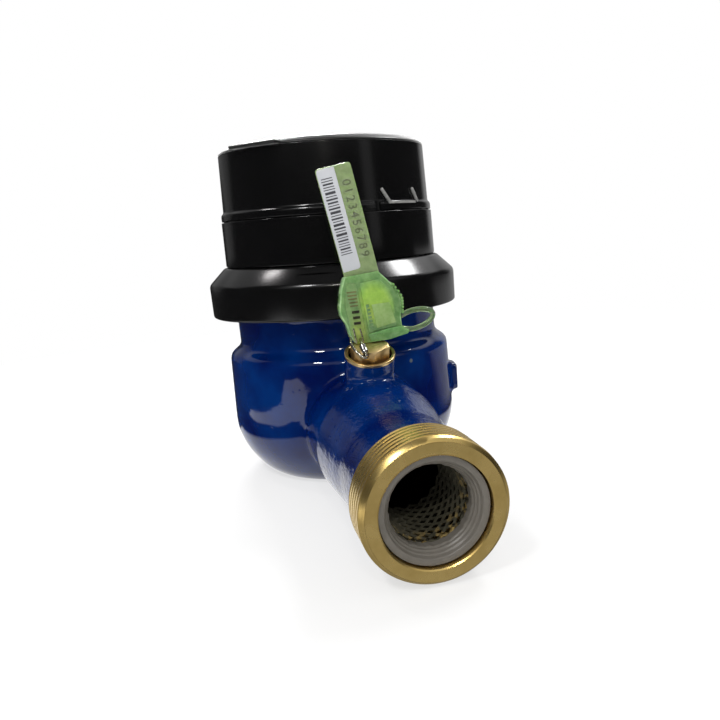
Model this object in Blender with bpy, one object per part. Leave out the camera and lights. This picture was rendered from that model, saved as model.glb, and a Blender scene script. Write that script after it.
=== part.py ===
"""Cold-water meter of the multi-jet kind, with a dry register that turns on its body.

Metres, +Z up. The origin is the centre of the flat base, +X runs along the pipe
towards the inlet thread, and +Y is to the right of someone who faces the inlet.
"""
import math

import bmesh
import bpy
from mathutils import Matrix, Vector
from mathutils.geometry import interpolate_bezier

# Clearances between pieces
GAP = 0.0003
TURN_CLEARANCE = 0.0006

# Round pieces: facets in a full turn
CASE_FACETS = 28
PIPE_FACETS = 20
PLATE_FACETS = 20
INNER_FACETS = 16
DRUM_FACETS = 12
SMALL_FACETS = 8
HOLE_FACETS = 6

# Pipe ends
LENGTH = 0.260
PIPE_AXIS_Z = 0.0215
THREAD_CREST_R = 0.020955
THREAD_DEPTH = 0.001479
THREAD_LENGTH = 0.0175
THREAD_PITCH = 0.002309
FACE_CHAMFER = 0.001
FACE_BORE_R = 0.0162
FACE_BORE_DEPTH = 0.0095
PIPE_WALL = 0.0045
SWELL_GROWTH = 0.0032
SWELL_RISE = 0.0044
SWELL_DROP = 0.0016
TAPER_OUTER_X = 0.092
TAPER_INNER_X = 0.068
THROAT_R = 0.010
THROAT_DROP = 0.007
THROAT_MOUTH_X = 0.066
NECK_ROOT = 0.75

# Register gear train, which sets the width of the head
GEAR_MODULE = 0.0012
PINION_TEETH = 6
WHEEL_TEETH = 18
TOOTH_DEPTH = 1.15
TOOTH_HEIGHT = 0.8
TOOTH_TIP = 0.07
PINION_FACE = 0.0028
WHEEL_FACE = 0.0018
ARBOR_R = 0.001
ARBOR_BEARING_R = 0.0022
BLIND_DEPTH = 0.005
STAR_ARBOR_BEARING = math.radians(-92.0)
POINTER_ARBOR_BEARING = math.radians(-28.0)
POINTER_COUNT = 4
POINTER_STEP = math.radians(40.0)
WHEEL_CLEARANCE = 0.00046

# Number drums
DRUM_COUNT = 5
DRUM_R = 0.006
DRUM_PITCH = 0.006
DRUM_ROW_X = -0.0152
DRUM_SHAFT_R = 0.001
CHEEK_T = 0.0015

# Head, from the register outwards
CAN_WALL = 0.0018
SHROUD_WALL = 0.00345
SHROUD_HEIGHT = 0.0164
SHROUD_TAPER = 0.0004
SPIGOT_HEIGHT = 0.0026
SPIGOT_WALL = 0.0011
PARTING = 0.0008
BEAD_HEIGHT = 0.0029
BEAD_WALL = 0.00145
LID_RING_WALL = 0.00215
LID_RING_HEIGHT = 0.0239
LID_RING_TAPER = 0.0008
LID_T = 0.0024
LID_EDGE_R = 0.0016
LID_SKIRT = 0.0014
LIP_T = 0.0014
LIP_REACH = 0.0032
HEAD_TURN = math.radians(-45.0)

# Hinge of the lid, and its thumb lip
HINGE_OFFSET = 0.0024
KNUCKLE_R = 0.0021
KNUCKLE_LENGTH = 0.0042
LID_KNUCKLE_LENGTH = 0.009
HINGE_PIN_R = 0.0009
THUMB_LIP_WIDTH = 0.022
THUMB_LIP_REACH = 0.0016

# Ramps of the catch on the lid ring, as bearings from the inlet
RAMP_BEARINGS = (math.radians(21.8), math.radians(43.8))
RAMP_LENGTH = 0.0052
RAMP_LEAN = math.radians(38.0)
RAMP_WIDTH = 0.0009
RAMP_HEIGHT = 0.0008
TAB_T = 0.0009
RAMP_FOOT = 0.35
NOTCH_BEARING = math.radians(16.5)
NOTCH_WIDTH = 0.0022

# Ring nut
RING_WALL = 0.0051
RING_WALL_HEIGHT = 0.0125
RING_EDGE = 0.0012
RING_LIP_REACH = 0.0058
RING_LIP_T = 0.0052
RING_SKIRT = 0.0009
RECESS_BEARING = math.radians(-17.0)
RECESS_WIDTH = 0.0145
RECESS_DEPTH = 0.0007
RECESS_HEIGHT = 0.0024

# Body bowl
FOOT_REACH = 0.0018
BELLY_TAPER = 0.35
BELLY_STEPS = 3
BOWL_BELLY_Z = 0.0235
BOWL_TOP_Z = 0.0496
SHOULDER_HEIGHT = 0.0040
SHOULDER = 0.0049
SHOULDER_KNEE = (0.25, 0.30)
BOWL_WALL = 0.0045
FLOOR_T = 0.0035
NECK_WALL = 0.0041
NECK_SHOWN = 0.0127
COLLAR_HEIGHT = 0.0057
COLLAR_STEP = 0.0036
LEDGE_Z = 0.025
LEDGE_T = 0.003
LEDGE_REACH = 0.0025

# Regulating boss on the inlet neck, and its plug
BOSS_X = 0.0595
BOSS_R = 0.0087
BOSS_RIM_Z = 0.0521
BOSS_WALL = 0.0011
BOSS_BORE_DEPTH = 0.0090
BOSS_DRAFT = 0.0003
PLUG_HEAD_R = 0.0071
PLUG_TURN = math.radians(5.0)
PLUG_RISE = 0.0053
PLUG_HEAD_DEPTH = 0.0060
PLUG_STEM_R = 0.0042
PLUG_HOLE_R = 0.0011
PLUG_HOLE_RISE = 0.0027
PLUG_HOLE_Y = -0.0026
O_RING_R = 0.0009

# Cast lug on the side of the bowl
LUG_BEARING = math.radians(80.0)
LUG_WIDTH = 0.009
LUG_REACH = 0.0032
LUG_BOTTOM_Z = 0.0262
LUG_TOP_Z = 0.0372
LUG_KNEE = 0.6
LUG_TIP = 0.7

# Inlet strainer
STRAINER_COLLAR_LENGTH = 0.0075
COLLAR_STEPS = ((0.94, 1.0), (0.88, 0.62), (0.82, 0.38))
COLLAR_LIP = 0.32
STRAINER_MOUTH_R = 0.0118
STRAINER_R = 0.0130
STRAINER_WALL = 0.0009
STRAINER_LENGTH = 0.028
STRAINER_COLUMNS = 9
STRAINER_ROWS = 4
STRAINER_BAR = 0.30
STRAINER_END = 0.0012

# Measuring chamber, impeller and the plates above
CHAMBER_WALL = 0.0026
CHAMBER_FLANGE_T = 0.0025
CHAMBER_FLANGE = 0.0040
CHAMBER_FLOOR_Z = 0.0070
CHAMBER_FLOOR_T = 0.0022
CHAMBER_RISE = 0.0135
PORT_COUNT = 5
PORT_WIDTH = 0.0042
PORT_HEIGHT = 0.0070
PORT_LEAN = math.radians(38.0)
COVER_T = 0.0026
COVER_TUBE_R = 0.0150
COVER_TUBE_WALL = 0.0024
COVER_BEARING_T = 0.0040
VANE_COUNT = 7
VANE_T = 0.0014
IMPELLER_HUB_R = 0.005
IMPELLER_CLEARANCE = 0.0016
IMPELLER_SHAFT_R = 0.0013
PIVOT_R = 0.0009
MAGNET_R = 0.0085
MAGNET_T = 0.0055
MAGNET_BORE_R = 0.0024
BODY_O_RING_R = 0.00085
PRESSURE_PLATE_T = 0.0030
CAN_FLANGE_T = 0.0016
FRICTION_RING_T = 0.0014

# Register
FOLLOWER_T = 0.0038
FOLLOWER_R = 0.0070
PLATE_T = 0.0015
BOX_WIDTH = math.radians(140.0)
BOX_STEPS = 8
DIAL_T = 0.0010
HAND_T = 0.0007
STAR_R = 0.0042
STAR_POINTS = 6
STAR_ROOT = 0.55
GLASS_SPACE = 0.0062
GASKET_T = 0.0013
GLASS_T = 0.0035

# Seal, its flag, key and wire
SEAL_T = 0.0056
SEAL_LEFT_Y = -0.0089
SEAL_WIDTH = 0.0250
SEAL_HEIGHT = 0.0239
SEAL_X_OFFSET = -0.0015
FLAG_WIDTH = 0.0119
FLAG_LENGTH = 0.0358
FLAG_SEAT = 0.0012
FLAG_T = 0.0013
FLAG_LEAN = math.radians(10.6)
KEY_R = 0.0018
KEY_RISE = 0.0067
KEY_DEPTH = 0.0090
KEY_CAP_R = 0.0022
KEY_CAP_T = 0.0008
LOOP_REACH = 0.0106
LOOP_HALF_HEIGHT = 0.0026
LOOP_R = 0.00085
LOOP_KNOTS = ((0.05, 0.50), (0.35, 1.0), (0.80, 0.85), (1.0, 0.0))
WIRE_R = 0.00045
WIRE_RISE = 0.0018
WIRE_LEFT = 0.0034
WIRE_BEND = 0.0042
FERRULE_R = 0.00135
FERRULE_LENGTH = 0.0018

# Worked out: gear train and register
PINION_PITCH_R = GEAR_MODULE * PINION_TEETH / 2
WHEEL_PITCH_R = GEAR_MODULE * WHEEL_TEETH / 2
CENTRE_DISTANCE = PINION_PITCH_R + WHEEL_PITCH_R
WHEEL_TIP_R = WHEEL_PITCH_R + TOOTH_HEIGHT * GEAR_MODULE


def polar(radius, bearing):
    """A point in the plane, at a radius and a bearing from +X."""
    return Vector((radius * math.cos(bearing), radius * math.sin(bearing), 0.0))


STAR_AXIS = polar(CENTRE_DISTANCE, STAR_ARBOR_BEARING)
POINTER_1_AXIS = STAR_AXIS + polar(CENTRE_DISTANCE, POINTER_ARBOR_BEARING)
POINTER_CIRCLE_R = POINTER_1_AXIS.length
POINTER_1_BEARING = math.atan2(POINTER_1_AXIS.y, POINTER_1_AXIS.x)
POINTER_AXES = [
    polar(POINTER_CIRCLE_R, POINTER_1_BEARING + step * POINTER_STEP)
    for step in range(POINTER_COUNT)
]
HAND_REACH = POINTER_CIRCLE_R * math.sin(POINTER_STEP / 2) - TURN_CLEARANCE

# Worked out: radii of the head and body, from the register outwards
CAN_INNER_R = POINTER_CIRCLE_R + WHEEL_TIP_R + WHEEL_CLEARANCE
CAN_R = CAN_INNER_R + CAN_WALL
SHROUD_INNER_R = CAN_R + TURN_CLEARANCE
SHROUD_R = SHROUD_INNER_R + SHROUD_WALL
LIP_R = CAN_R - LIP_REACH
LID_RING_INNER_R = CAN_R + GAP
LID_RING_R = LID_RING_INNER_R + LID_RING_WALL
BEAD_INNER_R = SHROUD_INNER_R + SPIGOT_WALL + GAP
BEAD_R = BEAD_INNER_R + BEAD_WALL
RING_LIP_R = CAN_R + TURN_CLEARANCE
RING_INNER_R = RING_LIP_R + RING_LIP_REACH
RING_R = RING_INNER_R + RING_WALL
COLLAR_R = RING_INNER_R - 2 * GAP
NECK_R = COLLAR_R - COLLAR_STEP
NECK_INNER_R = NECK_R - NECK_WALL
BOWL_R = NECK_R + SHOULDER
BOWL_INNER_R = BOWL_R - BOWL_WALL
FLANGE_R = NECK_INNER_R - TURN_CLEARANCE
CHAMBER_R = FLANGE_R - CHAMBER_FLANGE
LEDGE_INNER_R = CHAMBER_R + GAP
LOWER_R = LEDGE_INNER_R + LEDGE_REACH
CHAMBER_FOOT_R = CHAMBER_R - CHAMBER_FLOOR_T
BASE_R = CHAMBER_FOOT_R + FOOT_REACH

# Worked out: levels of the body, from the base up
SHOULDER_TOP_Z = BOWL_TOP_Z + SHOULDER_HEIGHT
COLLAR_Z = SHOULDER_TOP_Z + NECK_SHOWN
RIM_Z = COLLAR_Z + COLLAR_HEIGHT
RING_Z = COLLAR_Z - RING_SKIRT
RING_WALL_TOP_Z = RING_Z + RING_WALL_HEIGHT
PRESSURE_PLATE_Z = RIM_Z + GAP
CAN_Z = PRESSURE_PLATE_Z + PRESSURE_PLATE_T + GAP
CAN_FLOOR_Z = CAN_Z + CAN_FLANGE_T
FRICTION_RING_Z = CAN_FLOOR_Z + GAP
RING_LIP_Z = FRICTION_RING_Z + FRICTION_RING_T + GAP
RING_TOP_Z = RING_LIP_Z + RING_LIP_T
CHAMBER_FLANGE_Z = LEDGE_Z + LEDGE_T + GAP
CHAMBER_TOP_Z = CHAMBER_FLANGE_Z + CHAMBER_FLANGE_T + CHAMBER_RISE
COVER_Z = CHAMBER_TOP_Z + GAP
COVER_TOP_Z = RIM_Z - GAP
MAGNET_Z = COVER_TOP_Z - TURN_CLEARANCE - MAGNET_T

# Worked out: levels of the register and head
FOLLOWER_Z = CAN_FLOOR_Z + GAP
PINION_Z = FOLLOWER_Z + FOLLOWER_T + GAP
STAR_WHEEL_Z = PINION_Z + (PINION_FACE - WHEEL_FACE) / 2
STAR_PINION_Z = STAR_WHEEL_Z + WHEEL_FACE
POINTER_WHEEL_Z = STAR_PINION_Z + (PINION_FACE - WHEEL_FACE) / 2 + GAP
PLATE_Z = STAR_PINION_Z + PINION_FACE + GAP
PLATE_TOP_Z = PLATE_Z + PLATE_T
DRUM_AXIS_Z = PLATE_TOP_Z + TURN_CLEARANCE + DRUM_R
DIAL_TOP_Z = DRUM_AXIS_Z + DRUM_R - GAP
DIAL_Z = DIAL_TOP_Z - DIAL_T
HAND_Z = DIAL_TOP_Z + TURN_CLEARANCE
CAN_TOP_Z = DIAL_TOP_Z + GLASS_SPACE
GLASS_Z = CAN_TOP_Z + GASKET_T + 2 * GAP
GLASS_TOP_Z = GLASS_Z + GLASS_T
SHROUD_Z = RING_TOP_Z + GAP
SHROUD_TOP_Z = SHROUD_Z + SHROUD_HEIGHT
LID_RING_Z = SHROUD_TOP_Z + PARTING
SEAM_Z = LID_RING_Z + LID_RING_HEIGHT
LID_Z = SEAM_Z + GAP
PLUG_TOP_Z = BOSS_RIM_Z + PLUG_RISE
PLUG_HOLE_Z = BOSS_RIM_Z + PLUG_HOLE_RISE
BOSS_FLOOR_Z = BOSS_RIM_Z - BOSS_BORE_DEPTH
SEAL_X = BOSS_X + SEAL_X_OFFSET
SEAL_Z = PLUG_TOP_Z + GAP


# Modelling helpers


def material(name, colour, roughness, metallic=0.0, transmission=0.0):
    """A Principled material in one colour."""
    made = bpy.data.materials.new(name)
    made.use_nodes = True
    shader = made.node_tree.nodes["Principled BSDF"]
    shader.inputs["Base Color"].default_value = (*colour, 1.0)
    shader.inputs["Roughness"].default_value = roughness
    shader.inputs["Metallic"].default_value = metallic
    shader.inputs["Transmission Weight"].default_value = transmission
    made.diffuse_color = (*colour, 1.0)
    return made


def finish_mesh(name, bm, look=None, sharp_from=math.radians(30.0)):
    """Turn a bmesh into an object with outward faces and smooth round sides."""
    bmesh.ops.recalc_face_normals(bm, faces=bm.faces[:])
    mesh = bpy.data.meshes.new(name)
    bm.to_mesh(mesh)
    bm.free()
    mesh.shade_smooth()
    mesh.set_sharp_from_angle(angle=sharp_from)
    made = bpy.data.objects.new(name, mesh)
    bpy.context.scene.collection.objects.link(made)
    if look:
        mesh.materials.append(look)
    return made


def turned(name, outline, facets, look=None):
    """Turn a closed outline of (radius, height) points about Z."""
    bm = bmesh.new()
    rings = []
    for radius, height in outline:
        if radius == 0.0:
            rings.append([bm.verts.new((0.0, 0.0, height))])
            continue
        turns = [math.tau * step / facets for step in range(facets)]
        rings.append([bm.verts.new((*polar(radius, turn).xy, height)) for turn in turns])
    for lower, upper in zip(rings, rings[1:] + rings[:1]):
        for step in range(facets):
            following = (step + 1) % facets
            if len(lower) == 1 and len(upper) == 1:
                break
            if len(lower) == 1:
                bm.faces.new((lower[0], upper[step], upper[following]))
            elif len(upper) == 1:
                bm.faces.new((lower[step], lower[following], upper[0]))
            else:
                bm.faces.new((lower[step], lower[following], upper[following], upper[step]))
    return finish_mesh(name, bm, look)


def ring(name, inner_r, outer_r, bottom, top, facets, look=None):
    """A plain ring or washer with a square section."""
    outline = [(inner_r, bottom), (outer_r, bottom), (outer_r, top), (inner_r, top)]
    return turned(name, outline, facets, look)


def o_ring(name, centre_r, section_r, height, facets, look=None):
    """A round-section sealing ring, five-sided in section."""
    outline = []
    for corner in range(5):
        turn = math.tau * corner / 5
        outline.append((centre_r + section_r * math.cos(turn), height + section_r * math.sin(turn)))
    return turned(name, outline, facets, look)


def rod(name, radius, bottom, top, facets=SMALL_FACETS, look=None):
    """A solid cylinder along Z."""
    return turned(name, [(0.0, bottom), (radius, bottom), (radius, top), (0.0, top)], facets, look)


def extruded(name, outline, bottom, top, look=None):
    """Extrude a closed outline of (x, y) points along Z."""
    bm = bmesh.new()
    floor = bm.faces.new([bm.verts.new((x, y, bottom)) for x, y in outline])
    grown = bmesh.ops.extrude_face_region(bm, geom=[floor])
    raised = [item for item in grown["geom"] if isinstance(item, bmesh.types.BMVert)]
    bmesh.ops.translate(bm, vec=(0.0, 0.0, top - bottom), verts=raised)
    return finish_mesh(name, bm, look)


def block(name, low, high, look=None):
    """A box between two corners."""
    outline = [(low[0], low[1]), (high[0], low[1]), (high[0], high[1]), (low[0], high[1])]
    return extruded(name, outline, low[2], high[2], look)


def lofted(name, sections, facets, look=None):
    """Skin elliptical sections (x, half width, half height, centre height) along X."""
    bm = bmesh.new()
    rings = []
    for x, half_width, half_height, centre in sections:
        turns = [math.tau * step / facets for step in range(facets)]
        points = [(x, half_width * math.cos(turn), centre + half_height * math.sin(turn)) for turn in turns]
        rings.append([bm.verts.new(point) for point in points])
    for near, far in zip(rings, rings[1:]):
        for step in range(facets):
            following = (step + 1) % facets
            bm.faces.new((near[step], near[following], far[following], far[step]))
    bm.faces.new(rings[0])
    bm.faces.new(rings[-1])
    return finish_mesh(name, bm, look)


def combine(body, other, operation):
    """Apply a Boolean with another shape, which is kept out of the model."""
    change = body.modifiers.new(other.name, "BOOLEAN")
    change.operation = operation
    change.solver = "EXACT"
    change.object = other
    other.hide_render = True
    other.display_type = "WIRE"


def add(body, *others):
    """Join shapes onto a body."""
    for other in others:
        combine(body, other, "UNION")


def cut(body, *others):
    """Cut shapes out of a body."""
    for other in others:
        combine(body, other, "DIFFERENCE")


def smooth_route(knots, steps):
    """Points along a smooth curve through the knots."""
    padded = [knots[0], *knots, knots[-1]]
    route = []
    for before, start, end, after in zip(padded, padded[1:], padded[2:], padded[3:]):
        lead = start + (end - before) / 6
        trail = end - (after - start) / 6
        route += interpolate_bezier(start, lead, trail, end, steps + 1)[:-1]
    return [*route, knots[-1]]


def swept(name, route, radius, look=None, facets=8):
    """A round wire along a route of points."""
    bm = bmesh.new()
    rings = []
    side = (route[1] - route[0]).orthogonal()
    for index, point in enumerate(route):
        along = (route[min(index + 1, len(route) - 1)] - route[max(index - 1, 0)]).normalized()
        side = (side - along * side.dot(along)).normalized()
        across = along.cross(side)
        turns = [math.tau * step / facets for step in range(facets)]
        offsets = [radius * (math.cos(turn) * side + math.sin(turn) * across) for turn in turns]
        rings.append([bm.verts.new(point + offset) for offset in offsets])
    for near, far in zip(rings, rings[1:]):
        for step in range(facets):
            following = (step + 1) % facets
            bm.faces.new((near[step], near[following], far[following], far[step]))
    bm.faces.new(rings[0])
    bm.faces.new(rings[-1])
    return finish_mesh(name, bm, look)


def carry(carrier, *pieces):
    """Parent pieces, and their cutters, to the empty that carries them."""
    for piece in pieces:
        for shape in (piece, *(change.object for change in piece.modifiers)):
            shape.parent = carrier
            shape.location -= carrier.location


def axis_empty(name, location, turn=0.0, carrier=None):
    """An empty on a joint's axis."""
    made = bpy.data.objects.new(name, None)
    made.location = location
    made.rotation_euler.z = turn
    made.parent = carrier
    bpy.context.scene.collection.objects.link(made)
    return made


def gear_outline(teeth, phase):
    """Straight-flanked teeth with running backlash, one tooth centred on the phase."""
    pitch_r = GEAR_MODULE * teeth / 2
    corners = ((-TOOTH_DEPTH, 0.5), (TOOTH_HEIGHT, TOOTH_TIP), (TOOTH_HEIGHT, -TOOTH_TIP))
    outline = []
    for tooth in range(teeth):
        for height, share in corners:
            turn = phase + math.tau * (tooth - share) / teeth
            outline.append(polar(pitch_r + height * GEAR_MODULE, turn).xy)
    return outline


for old in list(bpy.data.objects):
    bpy.data.objects.remove(old, do_unlink=True)

BLUE_PAINT = material("blue_paint", (0.004, 0.028, 0.16), 0.18)
BRASS = material("brass", (0.62, 0.47, 0.20), 0.32, 1.0)
BLACK_PLASTIC = material("black_plastic", (0.012, 0.012, 0.013), 0.34)
GREY_PLASTIC = material("grey_plastic", (0.36, 0.34, 0.32), 0.45)
DARK_MESH = material("dark_mesh", (0.05, 0.05, 0.04), 0.5)
WHITE_PLASTIC = material("white_plastic", (0.85, 0.86, 0.84), 0.45)
RED_PLASTIC = material("red_plastic", (0.62, 0.02, 0.015), 0.4)
MAGNET = material("magnet", (0.09, 0.09, 0.1), 0.55)
RUBBER = material("rubber", (0.02, 0.02, 0.02), 0.7)
STEEL = material("steel", (0.6, 0.6, 0.62), 0.25, 1.0)
GLASS = material("glass", (0.9, 0.95, 0.93), 0.03, 0.0, 0.9)
GREEN_PLASTIC = material("green_plastic", (0.22, 0.46, 0.10), 0.22, 0.0, 0.4)
CLEAR_PLASTIC = material("clear_plastic", (0.8, 0.84, 0.84), 0.15, 0.0, 0.6)

head = axis_empty("head_axis", (0.0, 0.0, 0.0), HEAD_TURN)


# Meter body: bowl, necks, regulating boss and side lug in one casting

PIPE_R = THREAD_CREST_R - THREAD_DEPTH
BORE_R = PIPE_R - PIPE_WALL
REBATE_R = NECK_INNER_R + 2 * (BODY_O_RING_R + GAP)
REBATE_Z = RIM_Z - 2 * BODY_O_RING_R - GAP


def bowl_outline():
    """Base, belly, shoulder, neck and threaded collar of the bowl."""
    outline = [(0.0, 0.0)]
    for step in range(BELLY_STEPS + 1):
        turn = math.pi / 2 * step / BELLY_STEPS
        rise = BELLY_TAPER * math.sin(turn) + (1 - BELLY_TAPER) * (1 - math.cos(turn))
        outline.append((BASE_R + (BOWL_R - BASE_R) * math.sin(turn), BOWL_BELLY_Z * rise))
    outline += [
        (BOWL_R, BOWL_TOP_Z),
        (BOWL_R - SHOULDER_KNEE[0] * SHOULDER, BOWL_TOP_Z + SHOULDER_KNEE[1] * SHOULDER_HEIGHT),
        (NECK_R, SHOULDER_TOP_Z),
        (NECK_R, COLLAR_Z),
        (COLLAR_R, COLLAR_Z),
        (COLLAR_R, RIM_Z),
        (0.0, RIM_Z),
    ]
    return outline


def cavity_outline():
    """Inside of the bowl, with the ledge that parts its inlet and outlet spaces."""
    return [
        (0.0, FLOOR_T),
        (CHAMBER_FOOT_R, FLOOR_T),
        (LOWER_R, LEDGE_Z / 2),
        (LOWER_R, LEDGE_Z),
        (LEDGE_INNER_R, LEDGE_Z),
        (LEDGE_INNER_R, LEDGE_Z + LEDGE_T),
        (BOWL_INNER_R, LEDGE_Z + LEDGE_T),
        (BOWL_INNER_R, BOWL_TOP_Z - SHOULDER_HEIGHT / 2),
        (NECK_INNER_R, SHOULDER_TOP_Z - SHOULDER_HEIGHT / 2),
        (NECK_INNER_R, REBATE_Z),
        (REBATE_R, REBATE_Z),
        (REBATE_R, RIM_Z + FLOOR_T),
        (0.0, RIM_Z + FLOOR_T),
    ]


def pipe_sections(side):
    """Neck with its swell near the bowl, then the thread as a row of grooves, along one side."""
    swell = (PIPE_R + SWELL_GROWTH, PIPE_R + (SWELL_RISE + SWELL_DROP) / 2)
    swell_centre = PIPE_AXIS_Z + (SWELL_RISE - SWELL_DROP) / 2
    sections = [
        (side * NECK_ROOT * BOWL_INNER_R, *swell, swell_centre),
        (side * TAPER_INNER_X, *swell, swell_centre),
        (side * TAPER_OUTER_X, PIPE_R, PIPE_R, PIPE_AXIS_Z),
    ]
    land_start = LENGTH / 2 - THREAD_LENGTH
    thread = [(land_start - THREAD_DEPTH, PIPE_R), (land_start, THREAD_CREST_R)]
    for turn in range(int(THREAD_LENGTH / THREAD_PITCH)):
        crest_x = land_start + turn * THREAD_PITCH
        thread += [(crest_x + THREAD_PITCH / 2, PIPE_R), (crest_x + THREAD_PITCH, THREAD_CREST_R)]
    thread += [
        (LENGTH / 2 - FACE_CHAMFER, THREAD_CREST_R),
        (LENGTH / 2, THREAD_CREST_R - FACE_CHAMFER),
    ]
    for x, radius in thread:
        sections.append((side * x, radius, radius, PIPE_AXIS_Z))
    return sections


def bore_sections(side, inner_x):
    """Bore of one neck, with the counterbore behind its face."""
    outside = LENGTH / 2 + FACE_CHAMFER
    shoulder = LENGTH / 2 - FACE_BORE_DEPTH
    stations = [
        (outside, FACE_BORE_R),
        (shoulder, FACE_BORE_R),
        (shoulder - GAP, BORE_R),
        (inner_x, BORE_R),
    ]
    return [(side * x, radius, radius, PIPE_AXIS_Z) for x, radius in stations]


def plug_bore_outline():
    """Bore of the boss, with the narrower way for the plug's stem below it."""
    stem_r = PLUG_STEM_R + GAP
    bore_r = BOSS_R - BOSS_WALL
    top = BOSS_RIM_Z + GAP
    return [
        (0.0, PIPE_AXIS_Z),
        (stem_r, PIPE_AXIS_Z),
        (stem_r, BOSS_FLOOR_Z),
        (bore_r, BOSS_FLOOR_Z),
        (bore_r, top),
        (0.0, top),
    ]


def make_body():
    """The casting, with its waterways cut through."""
    body = turned("meter_body", bowl_outline(), CASE_FACETS, BLUE_PAINT)
    rim = [(0.0, PIPE_AXIS_Z), (BOSS_R, PIPE_AXIS_Z), (BOSS_R, BOSS_RIM_Z - BOSS_DRAFT), (0.0, BOSS_RIM_Z)]
    boss = turned("boss", rim, PIPE_FACETS)
    boss.location.x = BOSS_X
    half = (LUG_WIDTH / 2, (LUG_TOP_Z - LUG_BOTTOM_Z) / 2)
    sections = [
        (BOWL_R - BOWL_WALL / 2, *half, 0.0),
        (BOWL_R + LUG_KNEE * LUG_REACH, *half, 0.0),
        (BOWL_R + LUG_REACH, LUG_TIP * half[0], LUG_TIP * half[1], 0.0),
    ]
    lug = lofted("lug", sections, SMALL_FACETS)
    lug.location.z = (LUG_BOTTOM_Z + LUG_TOP_Z) / 2
    lug.rotation_euler.z = LUG_BEARING
    inlet = lofted("inlet_neck", pipe_sections(1.0), PIPE_FACETS)
    outlet = lofted("outlet_neck", pipe_sections(-1.0), PIPE_FACETS)
    add(body, inlet, outlet, boss, lug)

    cavity = turned("cavity", cavity_outline(), INNER_FACETS)
    inlet_bore = lofted("inlet_bore", bore_sections(1.0, THROAT_MOUTH_X), INNER_FACETS)
    throat_z = PIPE_AXIS_Z - THROAT_DROP
    throat = lofted(
        "throat",
        [
            (THROAT_MOUTH_X + GAP, THROAT_R, THROAT_R, throat_z),
            (LOWER_R - LEDGE_REACH, THROAT_R, THROAT_R, throat_z),
        ],
        INNER_FACETS,
    )
    outlet_bore = lofted("outlet_bore", bore_sections(-1.0, BOWL_INNER_R + GAP), INNER_FACETS)
    duct = block(
        "outlet_duct",
        (-BOWL_INNER_R - 2 * GAP, -THROAT_R, PIPE_AXIS_Z - THROAT_R),
        (-LOWER_R - FLOOR_T, THROAT_R, LEDGE_Z + LEDGE_T + THROAT_R / 4),
    )
    plug_bore = turned("plug_bore", plug_bore_outline(), PIPE_FACETS)
    plug_bore.location.x = BOSS_X
    add(cavity, inlet_bore, throat, outlet_bore, duct, plug_bore)
    cut(body, cavity)
    seal_r = NECK_INNER_R + GAP + BODY_O_RING_R
    o_ring("body_o_ring", seal_r, BODY_O_RING_R, RIM_Z - BODY_O_RING_R, INNER_FACETS, RUBBER)


make_body()


# Regulating plug: hexagon head with the cross hole for the seal wire


def make_plug():
    """Brass plug in the boss, and the ring that seals its stem."""
    plug = rod("regulating_plug", PLUG_HEAD_R, BOSS_RIM_Z - PLUG_HEAD_DEPTH, PLUG_TOP_Z, 6, BRASS)
    plug.rotation_euler.z = PLUG_TURN
    plug.location.x = BOSS_X
    stem = rod("plug_stem", PLUG_STEM_R, BORE_R + PIPE_AXIS_Z, BOSS_RIM_Z - PLUG_HEAD_DEPTH / 2)
    stem.location.x = BOSS_X
    add(plug, stem)
    hole = rod("wire_hole", PLUG_HOLE_R, -2 * PLUG_HEAD_R, 2 * PLUG_HEAD_R, HOLE_FACETS)
    hole.rotation_euler.y = math.pi / 2
    hole.location = (BOSS_X, PLUG_HOLE_Y, PLUG_HOLE_Z)
    cut(plug, hole)
    seat_z = BOSS_FLOOR_Z + GAP + O_RING_R
    seal = o_ring("plug_o_ring", PLUG_STEM_R + GAP + O_RING_R, O_RING_R, seat_z, SMALL_FACETS, RUBBER)
    seal.location.x = BOSS_X


make_plug()


# Inlet strainer: stepped collar in the counterbore, and the lattice basket behind it


def make_strainer():
    """Grey collar with stepped mouth, and a basket of diamond openings."""
    length = STRAINER_COLLAR_LENGTH
    outer_r = FACE_BORE_R - GAP
    outline = [
        (STRAINER_MOUTH_R, 0.0),
        (outer_r, 0.0),
        (outer_r, length),
        *((across * outer_r, along * length) for across, along in COLLAR_STEPS),
        (STRAINER_MOUTH_R, COLLAR_LIP * length),
    ]
    collar = turned("strainer_collar", outline, INNER_FACETS, GREY_PLASTIC)
    collar.rotation_euler.y = math.pi / 2
    collar.location = (LENGTH / 2 - FACE_BORE_DEPTH + GAP, 0.0, PIPE_AXIS_Z)
    basket = lattice_basket("strainer_basket", DARK_MESH)
    basket.rotation_euler.y = -math.pi / 2
    basket.location = (LENGTH / 2 - FACE_BORE_DEPTH - GAP, 0.0, PIPE_AXIS_Z)


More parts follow.
